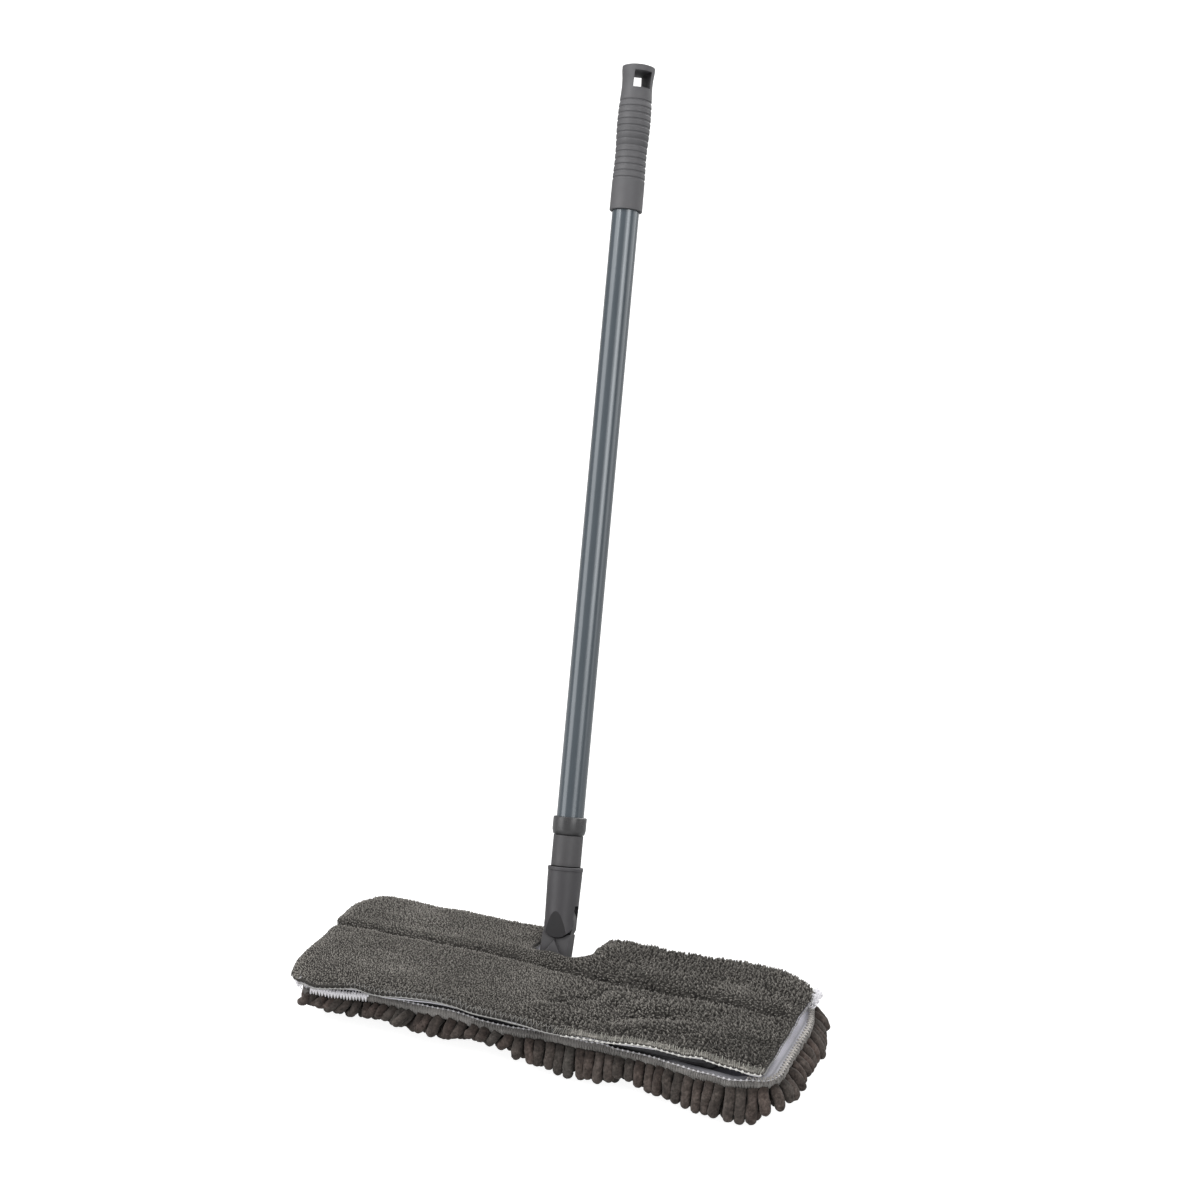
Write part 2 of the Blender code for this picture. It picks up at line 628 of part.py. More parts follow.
def grip():
    """Grip with shallow ring grooves, a bore for the outer tube and a hang hole."""
    contour = [(grip_radius(0), 0.4)]  # from the lower end up
    for i in range(GROOVE_COUNT):
        z = GROOVE_FIRST + GROOVE_PITCH * i
        radius = grip_radius(z)
        floor = radius - GROOVE_DEPTH
        contour += [
            (radius, z - GROOVE_HALF),
            (floor, z - GROOVE_FLOOR_HALF),
            (floor, z + GROOVE_FLOOR_HALF),
            (radius, z + GROOVE_HALF),
        ]
    contour += [(grip_radius(z), z) for z in GRIP_UPPER_STATIONS]
    length = GRIP_TOP - GRIP_LOW
    profile = [(0, length), (7.5, length - 0.3), (11.8, length - 1.4), (13.2, length - 2.6)]
    profile += contour[::-1] + [(13.0, 0), (0, 0)]
    body = turned("grip", raised(profile, GRIP_LOW), "grip_plastic", grip_empty)
    on = {"parent": grip_empty}
    bore_span = (GRIP_LOW - OVERRUN, TUBE_TOP + GRIP_BORE_END)
    cut(body, cylinder("grip_bore", TUBE_R + GAP, bore_span, segments=40, **on))
    cut(body, box("hang_hole", about(HANG_HOLE_X), about(THROUGH), HANG_HOLE_Z, **on))


tube("inner_tube", INNER_R, INNER_WALL, INNER_LOW, INNER_TOP, "inner_steel")
lock_spindle()
lock_sleeve()
tube("outer_tube", TUBE_R, TUBE_WALL, TUBE_LOW, TUBE_TOP, "pole_paint", segments=40)
lock_collar()
grip()
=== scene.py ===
# A flat mop: a pole on a hinged head that carries a plush sheet above and a chenille sheet below.
# The head lies along x (left is -x), its front edge faces -y and its hinge side +y. The floor is
# z = 0. Lengths in the cloth code are millimetres; make_mesh turns them into metres. Lengths in
# materials, lights and camera are metres.
import json
import math

import bpy
import numpy as np
from mathutils import Matrix, Vector


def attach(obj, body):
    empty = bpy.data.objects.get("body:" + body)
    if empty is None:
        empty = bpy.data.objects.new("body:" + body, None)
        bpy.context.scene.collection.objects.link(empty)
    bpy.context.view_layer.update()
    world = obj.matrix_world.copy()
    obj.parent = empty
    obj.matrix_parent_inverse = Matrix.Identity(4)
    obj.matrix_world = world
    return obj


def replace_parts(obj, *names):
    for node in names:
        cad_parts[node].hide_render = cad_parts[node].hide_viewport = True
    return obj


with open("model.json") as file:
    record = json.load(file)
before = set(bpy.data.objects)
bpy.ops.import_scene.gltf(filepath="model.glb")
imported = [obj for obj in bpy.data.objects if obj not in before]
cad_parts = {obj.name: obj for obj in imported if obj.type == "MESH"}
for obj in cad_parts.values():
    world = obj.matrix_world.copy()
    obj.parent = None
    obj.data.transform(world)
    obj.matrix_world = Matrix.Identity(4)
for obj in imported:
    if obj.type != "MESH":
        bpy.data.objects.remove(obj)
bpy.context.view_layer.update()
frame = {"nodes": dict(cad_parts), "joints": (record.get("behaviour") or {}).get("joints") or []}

JOINTS = {joint["name"]: joint for joint in frame["joints"]}
POLE_AXIS = np.array(JOINTS["telescope"]["axis"], float)
POLE_FOOT = np.array(JOINTS["pole_roll"]["pos_m"], float)

MM = 0.001
UP = np.array([0, 0, 1.0])
MASK = 0xFFFFFFFF  # keeps the noise hashes to 32 bits
PRIME_X, PRIME_Y, PRIME_Z, PRIME_SEED = 374761393, 668265263, 1440662683, 1274126177


# ---------------------------------------------------------------- number helpers
def clamp(t):
    return np.clip(t, 0.0, 1.0)


def smooth(t):
    """Smooth step from 0 at t = 0 to 1 at t = 1."""
    t = clamp(t)
    return t * t * (3 - 2 * t)


def bell(t):
    return np.exp(-(t**2))


def mound(x, y, x_mid, y_mid, x_half, y_half):
    """Bell over an oval."""
    return np.exp(-(((x - x_mid) / x_half) ** 2) - ((y - y_mid) / y_half) ** 2)


def at(table, where):
    """Reads a table of (place, value) pairs, straight between its points."""
    places, values = zip(*table)
    return np.interp(where, places, values)


def unit(v):
    return v / np.maximum(np.linalg.norm(v, axis=-1, keepdims=True), 1e-9)


def stir(number, shift, factor):
    return ((number ^ (number >> shift)) * factor) & MASK


def noise(x, y, seed, z=0.0):
    """Smooth value noise in [-1, 1] with cells one unit wide."""
    place = np.broadcast_arrays(*(np.asarray(v, float) for v in (x, y, z)))
    cell = [np.floor(v).astype(np.int64) for v in place]
    part = [smooth(v - c) for v, c in zip(place, cell)]

    def corner(i, j, k):
        number = (cell[0] + i) * PRIME_X + (cell[1] + j) * PRIME_Y + (cell[2] + k) * PRIME_Z
        number = (number + seed * PRIME_SEED) & MASK
        number = stir(stir(number, 13, PRIME_SEED), 15, PRIME_Y)
        return ((number ^ (number >> 16)) & 0xFFFFFF) / float(0xFFFFFF) * 2 - 1

    def blend(a, b, t):
        return a + (b - a) * t

    def along_x(j, k):
        return blend(corner(0, j, k), corner(1, j, k), part[0])

    near = blend(along_x(0, 0), along_x(1, 0), part[1])
    far = blend(along_x(0, 1), along_x(1, 1), part[1])
    return blend(near, far, part[2])


def scattered(x, y, cell, seed):
    """Distance to the nearest of a scatter of centres, one per cell, and that centre."""
    cell_x, cell_y = (np.floor(v / cell).astype(np.int64) for v in (x, y))
    best = np.full(x.shape, 1e9)
    best_x, best_y = np.zeros(x.shape), np.zeros(x.shape)
    for i in (-1, 0, 1):
        for j in (-1, 0, 1):
            column, row = cell_x + i, cell_y + j
            number = (column * PRIME_X + row * PRIME_Y + seed * 974711) & MASK
            number = stir(number, 13, PRIME_SEED)
            number = number ^ (number >> 16)
            mid_x = (column + 0.12 + 0.76 * ((number & 0xFFF) / 4095.0)) * cell
            mid_y = (row + 0.12 + 0.76 * (((number >> 12) & 0xFFF) / 4095.0)) * cell
            distance = np.hypot(x - mid_x, y - mid_y)
            nearer = distance < best
            best = np.where(nearer, distance, best)
            best_x = np.where(nearer, mid_x, best_x)
            best_y = np.where(nearer, mid_y, best_y)
    return best, best_x, best_y


# ---------------------------------------------------------------- mesh helpers
def make_mesh(name, verts, faces, material, attrs=None):
    """Object on the head from verts (N, 3) in mm and a list of index arrays, one per face size."""
    mesh = bpy.data.meshes.new(name)
    coords = np.ascontiguousarray(np.asarray(verts, float) * MM, dtype=np.float32)
    groups = [np.asarray(f, np.int32) for f in faces if len(f)]
    loops = np.concatenate([g.ravel() for g in groups])
    totals = np.concatenate([np.full(len(g), g.shape[1], np.int32) for g in groups])
    starts = np.concatenate([[0], np.cumsum(totals)[:-1]]).astype(np.int32)
    mesh.vertices.add(len(coords))
    mesh.vertices.foreach_set("co", coords.ravel())
    mesh.loops.add(len(loops))
    mesh.loops.foreach_set("vertex_index", loops)
    mesh.polygons.add(len(totals))
    mesh.polygons.foreach_set("loop_start", starts)
    mesh.polygons.foreach_set("loop_total", totals)
    mesh.update(calc_edges=True)
    mesh.validate()
    mesh.polygons.foreach_set("use_smooth", np.ones(len(mesh.polygons), bool))
    for key, values in (attrs or {}).items():
        layer = mesh.attributes.new(key, "FLOAT", "POINT")
        layer.data.foreach_set("value", np.asarray(values, np.float32))
    mesh.materials.append(material)
    obj = bpy.data.objects.new(name, mesh)
    bpy.context.scene.collection.objects.link(obj)
    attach(obj, "head")
    return obj


def slab_mesh(name, top, bottom, keep, material, attrs=None):
    """Closed slab between two point grids. keep marks its cells; attrs holds (top, bottom) grids."""
    columns, rows = top.shape[:2]
    under = columns * rows
    index = np.arange(under).reshape(columns, rows)
    a, b, c, d = index[:-1, :-1], index[1:, :-1], index[1:, 1:], index[:-1, 1:]
    upper = np.stack([a, b, c, d], -1)[keep]
    lower = np.stack([a, d, c, b], -1)[keep] + under
    padded = np.zeros((columns + 1, rows + 1), bool)
    padded[1:-1, 1:-1] = keep
    sides = []
    for i, j, p, q in ((0, -1, a, b), (1, 0, b, c), (0, 1, c, d), (-1, 0, d, a)):
        neighbour = padded[1 + i : columns + i, 1 + j : rows + j]
        open_side = keep & ~neighbour
        p, q = p[open_side], q[open_side]
        sides.append(np.stack([q, p, p + under, q + under], -1))
    faces = [upper, lower, np.concatenate(sides)]
    used = np.zeros(2 * under, bool)
    for group in faces:
        used[group.ravel()] = True
    renumber = np.cumsum(used) - 1
    verts = np.concatenate([top.reshape(-1, 3), bottom.reshape(-1, 3)])[used]
    values = {key: np.stack(pair).ravel()[used] for key, pair in (attrs or {}).items()}
    return make_mesh(name, verts, [renumber[f] for f in faces], material, values)


def notched_grid(step, box, notch):
    """Plan grid over box (left, right, front, rear) and its cells outside notch (left, right, end).

    The notch is open to the rear, and its sides fall on grid lines.
    """
    left, right, front, rear = box
    notch_left, notch_right, notch_end = notch

    def line(start, end):
        count = max(2, int(round((end - start) / step)))
        return np.linspace(start, end, count + 1)

    xs = np.concatenate([
        line(left, notch_left), line(notch_left, notch_right)[1:], line(notch_right, right)[1:]])
    first = np.argmin(abs(xs - notch_left))
    last = np.argmin(abs(xs - notch_right))
    ahead = line(front, notch_end)
    x, y = np.meshgrid(xs, np.concatenate([ahead, line(notch_end, rear)[1:]]), indexing="ij")
    keep = np.ones((x.shape[0] - 1, x.shape[1] - 1), bool)
    keep[first:last, len(ahead) - 1 :] = False
    return x, y, keep


def tube_faces(rings, sides):
    """Quads between rings, and triangles to the two cap points numbered after the rings."""
    start = np.arange(rings - 1)[:, None] * sides
    here = np.arange(sides)[None, :]
    after = (here + 1) % sides
    corners = [start + here, start + after, start + sides + after, start + sides + here]
    quads = np.stack(corners, -1).reshape(-1, 4)
    cap, last = rings * sides, (rings - 1) * sides
    triangles = [[cap, (k + 1) % sides, k] for k in range(sides)]
    triangles += [[cap + 1, last + k, last + (k + 1) % sides] for k in range(sides)]
    return quads, np.array(triangles)


def tube_path(points, radius, sides):
    """Closed-ended tube along a polyline: (verts, quads, triangles)."""
    count = len(points)
    tangent = np.zeros_like(points)
    tangent[1:-1] = points[2:] - points[:-2]
    tangent[0] = points[1] - points[0]
    tangent[-1] = points[-1] - points[-2]
    tangent = unit(tangent)
    side = np.cross(tangent, UP)
    upright = np.linalg.norm(side, axis=1) < 0.05
    side[upright] = np.cross(tangent[upright], np.array([0.0, 1.0, 0.0]))
    side = unit(side)
    for i in range(1, count):  # carries the frame along without twisting
        carried = side[i - 1] - tangent[i] * (side[i - 1] @ tangent[i])
        side[i] = carried / max(np.linalg.norm(carried), 1e-9)
    other = np.cross(tangent, side)
    radii = np.broadcast_to(np.asarray(radius, float), (count,))
    angle = (np.arange(sides) * math.tau / sides)[None, :, None]
    ring = side[:, None] * np.cos(angle) + other[:, None] * np.sin(angle)
    verts = (points[:, None] + ring * radii[:, None, None]).reshape(-1, 3)
    start_cap = points[:1] - tangent[:1] * radii[0] * 0.5
    end_cap = points[-1:] + tangent[-1:] * radii[-1] * 0.5
    return np.concatenate([verts, start_cap, end_cap]), *tube_faces(count, sides)


def merge_tubes(name, tubes, material):
    verts, quads, triangles, offset = [], [], [], 0
    for points, quad, triangle in tubes:
        verts.append(points)
        quads.append(quad + offset)
        triangles.append(triangle + offset)
        offset += len(points)
    faces = [np.concatenate(quads), np.concatenate(triangles)]
    make_mesh(name, np.concatenate(verts), faces, material)


def resample(path, step):
    gaps = np.linalg.norm(np.diff(path, axis=0), axis=1)
    run = np.concatenate([[0], np.cumsum(gaps)])
    count = max(2, int(run[-1] / step))
    even = np.linspace(0, run[-1], count + 1)
    return np.stack([np.interp(even, run, path[:, k]) for k in range(3)], -1)


def legs(*parts):
    """Joins the legs of a path; each leg is a tuple of coordinates, single numbers or arrays."""
    return np.concatenate([np.stack(np.broadcast_arrays(*part)) for part in parts], 1)


def outward(path):
    """Level unit normals to the right of a path."""
    along = np.gradient(path[:, :2], axis=0)
    along = along / np.maximum(np.linalg.norm(along, axis=1, keepdims=True), 1e-9)
    return np.stack([along[:, 1], -along[:, 0], np.zeros(len(along))], -1)


def offset_path(path, out, up):
    out, up = (np.broadcast_to(v, len(path))[:, None] for v in (out, up))
    return path + outward(path) * out + UP * up


# ---------------------------------------------------------------- shader helpers
WHITE = (1.0, 1.0, 1.0)


def tinted(colour, factor):
    return tuple(max(0.0, part * factor) for part in colour)


class Graph:
    """Short calls for building a node tree. Inputs given as sockets are linked, others are set."""

    def __init__(self, tree):
        self.tree = tree

    def feed(self, node, inputs):
        for key, value in inputs.items():
            if isinstance(value, bpy.types.NodeSocket):
                self.tree.links.new(value, node.inputs[key])
            elif value is not None:
                node.inputs[key].default_value = value

    def add(self, kind, inputs=None, **settings):
        node = self.tree.nodes.new("ShaderNode" + kind)
        for key, value in settings.items():
            setattr(node, key, value)
        self.feed(node, inputs or {})
        return node

    def math(self, operation, a, b):
        return self.add("Math", {0: a, 1: b}, operation=operation).outputs[0]

    def multiply(self, a, b):
        """Product of two colours or vectors."""
        return self.add("VectorMath", {0: a, 1: b}, operation="MULTIPLY").outputs["Vector"]

    def scale(self, vector, factor):
        inputs = {0: vector, "Scale": factor}
        return self.add("VectorMath", inputs, operation="SCALE").outputs["Vector"]

    def dot(self, a, b):
        return self.add("VectorMath", {0: a, 1: b}, operation="DOT_PRODUCT").outputs["Value"]

    def noise(self, scale, detail=3.0, roughness=0.6):
        inputs = {"Scale": scale, "Detail": detail, "Roughness": roughness, "Vector": self.coords}
        return self.add("TexNoise", inputs).outputs["Fac"]

    def attribute(self, name):
        return self.add("Attribute", attribute_name=name).outputs["Fac"]

    def ramp(self, factor, stops):
        """Colour ramp from (position, colour) stops."""
        node = self.add("ValToRGB", {"Fac": factor})
        elements = node.color_ramp.elements
        while len(elements) < len(stops):
            elements.new(0.5)
        for element, (position, colour) in zip(elements, stops):
            element.position = position
            element.color = (*colour, 1.0)
        return node.outputs["Color"]

    def mottled(self, colour, amount, scale, detail):
        factor = self.noise(scale, detail)
        return self.ramp(
            factor, [(0.3, tinted(colour, 1 - amount)), (0.7, tinted(colour, 1 + amount))])

    def remap(self, value, source, target=(0.0, 1.0), **settings):
        inputs = {
            "Value": value, "From Min": source[0], "From Max": source[1],
            "To Min": target[0], "To Max": target[1]}
        return self.add("MapRange", inputs, **settings).outputs["Result"]

    def recesses(self, colour, distance, deep, clear):
        """Darkens narrow hollows; deep and clear are the two stops of the shading ramp."""
        # painted shade: the colour times a ramp on ambient occlusion
        open_sky = self.add("AmbientOcclusion", {"Distance": distance}, samples=6).outputs["AO"]
        return self.multiply(colour, self.ramp(open_sky, [deep, clear]))

    def bevel(self, radius, samples):
        return self.add("Bevel", {"Radius": radius}, samples=samples).outputs["Normal"]

    def bump(self, height, strength, distance, normal=None):
        inputs = {"Height": height, "Strength": strength, "Distance": distance, "Normal": normal}
        return self.add("Bump", inputs).outputs["Normal"]


def new_material(name):
    material = bpy.data.materials.new(name)
    material.use_nodes = True
    graph = Graph(material.node_tree)
    graph.coords = graph.add("TexCoord").outputs["Object"]
    return material, graph, material.node_tree.nodes["Principled BSDF"]


# ---------------------------------------------------------------- materials
def plastic(name, colour, roughness, mottle=0.10, bevel=0.00035, specular=0.5, recess=0.004,
            open_at=None, edge=0.0, facet=None, facet_dim=1.0):
    """Moulded plastic with a fine grain.

    recess is how far the painted shade in hollows reaches: occlusion darkens the colour and
    dims the specular there. open_at moves the shading's clear end and takes the occlusion out
    of the colour itself. edge is the strength of a painted highlight on corners. facet is the
    normal of one flat that gets painted shade, dimmed to facet_dim.
    """
    material, graph, surface = new_material(name)
    base = graph.mottled(colour, mottle, scale=38.0, detail=4.0)
    # painted shade: occlusion darkens the colour in hollows and gaps; the same ramp also dims the
    # specular there
    sky = graph.add("AmbientOcclusion", {"Distance": recess, "Color": base}, samples=6)
    shade = graph.ramp(sky.outputs["AO"], [(0.0, (0.12, 0.12, 0.12)), (open_at or 0.75, WHITE)])
    lit = graph.multiply(base if open_at else sky.outputs["Color"], shade)
    # painted highlight: corners found by the bevel are brightened
    if edge:
        geometry = graph.add("NewGeometry")
        sharpness = graph.dot(graph.bevel(0.0008, samples=6), geometry.outputs["Normal"])
        lit = graph.scale(lit, graph.remap(sharpness, (0.998, 0.955), (1.0, 1.0 + edge)))
    # painted shade on one flat that faces down and away from the light
    if facet is not None:
        geometry = graph.add("NewGeometry")
        turned = graph.add(
            "VectorTransform", {0: geometry.outputs["True Normal"]},
            vector_type="NORMAL", convert_from="WORLD", convert_to="OBJECT")
        facing = graph.dot(turned.outputs[0], facet)
        lit = graph.scale(lit, graph.remap(facing, (0.990, 0.996), (1.0, facet_dim)))
    grain = graph.noise(2600.0, detail=2.0, roughness=0.5)
    smudges = graph.noise(90.0)
    graph.feed(surface, {
        "Base Color": lit,
        "Specular IOR Level": graph.math("MULTIPLY", shade, specular),
        "Roughness": graph.remap(smudges, (0.3, 0.7), (roughness - 0.06, roughness + 0.07)),
        "Normal": graph.bump(
            grain, strength=0.6, distance=0.00003, normal=graph.bevel(bevel, samples=4)),
    })
    return material


def metal(name, colour, roughness):
    material, graph, surface = new_material(name)
    scratches = graph.noise(900.0)
    base = graph.ramp(scratches, [(0.3, tinted(colour, 0.9)), (0.7, tinted(colour, 1.06))])
    # painted shade: the colour darkens in hollows and gaps
    graph.feed(surface, {
        "Base Color": graph.recesses(base, 0.004, deep=(0.1, (0.05, 0.05, 0.05)),
                                     clear=(0.8, WHITE)),
        "Metallic": 1.0,
        "Roughness": roughness,
        "Normal": graph.bump(scratches, strength=0.3, distance=0.00002),
    })
    return material


def painted_tube(name):
    """Blue-grey paint with faint variation, a fine orange peel and a slightly soft gloss."""
    material, graph, surface = new_material(name)
    variation = graph.noise(14.0)
    peel = graph.noise(420.0, detail=2.0, roughness=0.5)
    graph.feed(surface, {
        "Base Color": graph.ramp(
            variation, [(0.32, (0.066, 0.082, 0.097)), (0.68, (0.074, 0.092, 0.108))]),
        "Metallic": 0.15,
        "Roughness": 0.22,
        "Specular IOR Level": 0.75,
        "Coat Weight": 0.35,
        "Coat Roughness": 0.08,
        "Normal": graph.bump(peel, strength=0.25, distance=0.00002),
    })
    return material


def pile(name, root, middle, tip, grain_scale, grain, sheen, grey=None, recess=0.0):
    """Fibre pile: dark between the tufts, lighter at the tips, with patches of another shade.

    The mesh attribute h runs from root to tip and carries painted shade: dark at the roots
    between the tufts, lighter at the tips as painted light. tint shifts the brightness (partly
    painted light and shade), hue mixes in the strand colour grey, and recess is how far the
    painted shade in hollows reaches.
    """
    material, graph, surface = new_material(name)
    height = graph.attribute("h")
    # h paints shade: dark at the roots between the tufts, lighter at the tips as painted light
    colour = graph.ramp(height, [(0.0, root), (0.45, middle), (1.0, tip)])
    if grey:
        greyer = graph.ramp(
            height, [(0.0, tinted(grey, 0.3)), (0.45, grey), (1.0, tinted(grey, 1.55))])
        inputs = {0: graph.attribute("hue"), 6: colour, 7: greyer}
        colour = graph.add("Mix", inputs, data_type="RGBA").outputs[2]
    fine = graph.noise(grain_scale, roughness=0.65)
    patches = graph.noise(24.0)
    level = graph.math(
        "ADD", graph.attribute("tint"), graph.remap(fine, (0.25, 0.75), (-grain, grain)))
    level = graph.math("ADD", level, graph.remap(patches, (0.3, 0.7), (0.95, 1.06)))
    colour = graph.scale(colour, level)
    # painted shade in hollows
    if recess:
        colour = graph.recesses(
            colour, recess, deep=(0.10, (0.10, 0.08, 0.07)), clear=(0.55, WHITE))
    graph.feed(surface, {
        "Base Color": colour,
        "Roughness": 0.92,
        "Specular IOR Level": 0.15,
        "Sheen Weight": sheen,
        "Sheen Roughness": 0.6,
        "Sheen Tint": (0.75, 0.72, 0.68, 1),
        "Normal": graph.bump(fine, strength=0.7, distance=0.0006),
    })
    return material


def cloth(name, colour, weave, depth, mottle=0.07, knit=0.0, recess=0.0, painted_glow=0.0, painted_shadow=0.0):
    """Thin loop or knit cloth: two crossed fine waves with noise.

    knit is how dark the stitches' hollows are (painted shade), recess how far the painted shade
    in hollows reaches, the glow argument the strength of an emission that paints light on the
    cloth, and the last argument the colour level of the painted shadow where the mesh attribute
    dim is 1.
    """
    material, graph, surface = new_material(name)

    def wave(direction, scale):
        inputs = {"Scale": scale, "Distortion": 1.5, "Vector": graph.coords}
        return graph.add("TexWave", inputs, bands_direction=direction).outputs["Fac"]

    stitches = graph.math("ADD", wave("X", weave / 2.2), wave("Y", weave / 3.0))
    shade = graph.mottled(colour, mottle, scale=70.0, detail=3.0)
    # painted shade in the stitches' hollows
    if knit:
        half = graph.math("MULTIPLY", stitches, 0.5)
        hollow = (1 - knit, 1 - knit, 1 - knit)
        shade = graph.multiply(shade, graph.ramp(half, [(0.15, hollow), (0.85, WHITE)]))
    # painted shadow where the mesh attribute dim is 1
    if painted_shadow:
        stops = [(0.0, WHITE), (1.0, (painted_shadow, painted_shadow * 1.02, painted_shadow * 1.12))]
        shade = graph.multiply(shade, graph.ramp(graph.attribute("dim"), stops))
    # painted shade in hollows
    if recess:
        shade = graph.recesses(
            shade, recess, deep=(0.12, (0.08, 0.08, 0.095)), clear=(0.62, WHITE))
    # painted light: an emission in the cloth's own colour, though it is no lamp
    if painted_glow:
        graph.feed(surface, {"Emission Color": shade, "Emission Strength": painted_glow})
    graph.feed(surface, {
        "Base Color": shade,
        "Roughness": 0.85,
        "Sheen Weight": 0.1,
        "Normal": graph.bump(stitches, strength=0.5, distance=depth),
    })
    return material


def front_flat(name):
    """Mean normal of the sloping flat on the front of a part."""
    total = np.zeros(3)
    for polygon in frame["nodes"][name].data.polygons:
        normal = np.array(polygon.normal)
        if normal[1] < -0.96:
            total += normal * polygon.area
    return tuple(total / np.linalg.norm(total))


GRIP = plastic("grip_plastic", (0.092, 0.091, 0.096), roughness=0.6, mottle=0.05, bevel=0.0003,
               recess=0.030, open_at=0.55)
TUBE = painted_tube("pole_paint")
INNER = metal("inner_steel", (0.26, 0.265, 0.28), roughness=0.34)
COLLAR = plastic("collar_plastic", (0.047, 0.047, 0.049), roughness=0.3, mottle=0.05, specular=0.6)
ADAPTER = plastic("adapter_plastic", (0.062, 0.06, 0.063), roughness=0.5, mottle=0.05)
NECK = plastic("neck_plastic", (0.05, 0.048, 0.052), roughness=0.5, mottle=0.06, bevel=0.0005,
               edge=0.25, facet=front_flat("neck_socket"), facet_dim=0.43)
KNUCKLE = plastic("knuckle_plastic", (0.050, 0.048, 0.051), roughness=0.5, mottle=0.06,
                  bevel=0.0006, edge=0.55)
LOCK = plastic("lock_plastic", (0.05, 0.05, 0.052), roughness=0.45)
PLATE = plastic("plate_plastic", (0.1, 0.1, 0.104), roughness=0.5, mottle=0.06)
PIN = metal("pin_steel", (0.5, 0.5, 0.51), roughness=0.35)
TAPE = cloth("hook_tape", (0.045, 0.045, 0.047), weave=1500.0, depth=0.0006)
PLUSH = pile("plush_pile", root=(0.007, 0.0065, 0.006), middle=(0.084, 0.079, 0.072),
             tip=(0.275, 0.260, 0.238), grain_scale=480.0, grain=0.48, sheen=0.10)
CHENILLE = pile("chenille_pile", root=(0.010, 0.007, 0.006), middle=(0.062, 0.047, 0.041),
                tip=(0.125, 0.100, 0.089), grain_scale=520.0, grain=0.55, sheen=0.12,
                grey=(0.060, 0.054, 0.049), recess=0.0060)
BASE = cloth("chenille_base", (0.14, 0.132, 0.122), weave=900.0, depth=0.0008, mottle=0.2)
HEM = cloth("bound_hem", (0.27, 0.257, 0.245), weave=310.0, depth=0.0010, mottle=0.25, knit=0.6)
# the linings' emission is painted light, stronger on the lower one; dim on the lower lining is
# painted shadow
LINING_LOW = cloth("loop_lining_low", (0.92, 0.91, 0.97), weave=650.0, depth=0.0004, mottle=0.04,
                   recess=0.015, painted_glow=0.14, painted_shadow=0.035)
LINING = cloth("loop_lining", (0.90, 0.89, 0.95), weave=650.0, depth=0.0004, mottle=0.04,
               recess=0.015, painted_glow=0.10)
# the threads' emission strength is painted light
THREAD = {  # shade name, colour, mottle, glow
    shade: cloth("overlock_" + shade, colour, weave=2400.0, depth=0.0001, mottle=mottle, painted_glow=painted_glow)
    for shade, colour, mottle, painted_glow in (
        ("white", (0.84, 0.83, 0.86), 0.08, 0.14),
        ("cord_white", (0.60, 0.59, 0.565), 0.07, 0.06),
        ("grey", (0.30, 0.295, 0.285), 0.2, 0.0),
        ("sand", (0.50, 0.475, 0.445), 0.35, 0.0),
        ("olive", (0.36, 0.35, 0.315), 0.3, 0.0),
        ("pearl", (0.66, 0.65, 0.67), 0.15, 0.0),
        ("beige", (0.33, 0.315, 0.30), 0.25, 0.0),
    )
}

# ---------------------------------------------------------------- CAD parts
CAD_MATERIALS = {
    "grip": GRIP, "outer_tube": TUBE, "inner_tube": INNER, "lock_collar": COLLAR,
    "lock_spindle": LOCK, "lock_sleeve": LOCK, "thread_adapter": ADAPTER, "neck_socket": NECK,
    "fork_pin": PIN, "knuckle": KNUCKLE, "hinge_pin": PIN, "plate_lower_shell": PLATE,
    "plate_upper_shell": PLATE,
}


def cad_material(name):
    if name.startswith("plate_screw"):
        return PIN
    if name.startswith("hook_tape"):
        return TAPE
    return CAD_MATERIALS.get(name)


def dress_cad(name, obj, material):
    """Gives a CAD part its material, and smooth shading that breaks at sharp edges."""
    mesh = obj.data
    mesh.materials.clear()
    mesh.materials.append(material)
    if "custom_normal" in mesh.attributes:
        mesh.attributes.remove(mesh.attributes["custom_normal"])
    weld = obj.modifiers.new("weld", "WELD")
    weld.merge_threshold = 0.000002
    split = obj.modifiers.new("split", "EDGE_SPLIT")
    split.split_angle = math.radians(10.3 if name in ("neck_socket", "knuckle") else 32)
    mesh.polygons.foreach_set("use_smooth", np.ones(len(mesh.polygons), bool))


for part_name, part in frame["nodes"].items():
    part_material = cad_material(part_name)
    if part_material is not None:
        dress_cad(part_name, part, part_material)

# ---------------------------------------------------------------- shape of the upper sheet
TOP_LEFT, TOP_RIGHT, TOP_FRONT = -186.0, 213.5, -70.0
NOTCH_LEFT, NOTCH_RIGHT, NOTCH_END = -16.5, 33.0, 31.0  # open to the hinge side
FOLD_RADIUS, FOLD_LENGTH = 6.0, 17.5  # turned-down strip along the hinge side
FOLD_Y = 73.0
RUN_END = FOLD_Y + FOLD_LENGTH  # where the sheet ends, measured along the cloth
EASE_DEPTH = 6.0

# x, y of the front edge
TOP_FRONT_EDGE = (
    (-190, -68), (-171, -70), (-158, -74), (-148, -73), (-124, -68), (-110, -69.5), (-100, -69),
    (-82, -66), (-51, -66), (-38, -66.5), (-24, -67.7), (-8, -68.6), (10, -69.5), (25, -70.6),
    (41, -71.2), (51, -70.9), (80, -69), (115, -67.7), (129, -67.5), (140, -69.2), (151, -70.3),
    (163, -68.7), (175, -70.7), (187, -72.2), (201, -73.3), (216, -72.7),
)
# x, y of the stitched groove along the sheet
GROOVE = (
    (-190, 20), (-140, 21), (-70, 19.6), (12, 13.4), (68, 8.5), (119, 11.5), (163, 14),
    (191, 9.7), (215, 8.5),
)
# y, shift in x of the right and left edges
TOP_RIGHT_SHIFT = (
    (-70, -0.2), (-37, -0.2), (-12, -0.6), (10, -1.6), (30, -0.9), (46, -0.9), (65, -4.6),
    (75, -6.5),
)
TOP_LEFT_SHIFT = ((-70, 6.5), (-60, 3.5), (-44, 0.5), (5, 0.0), (55, -3.5), (80, 1.5))
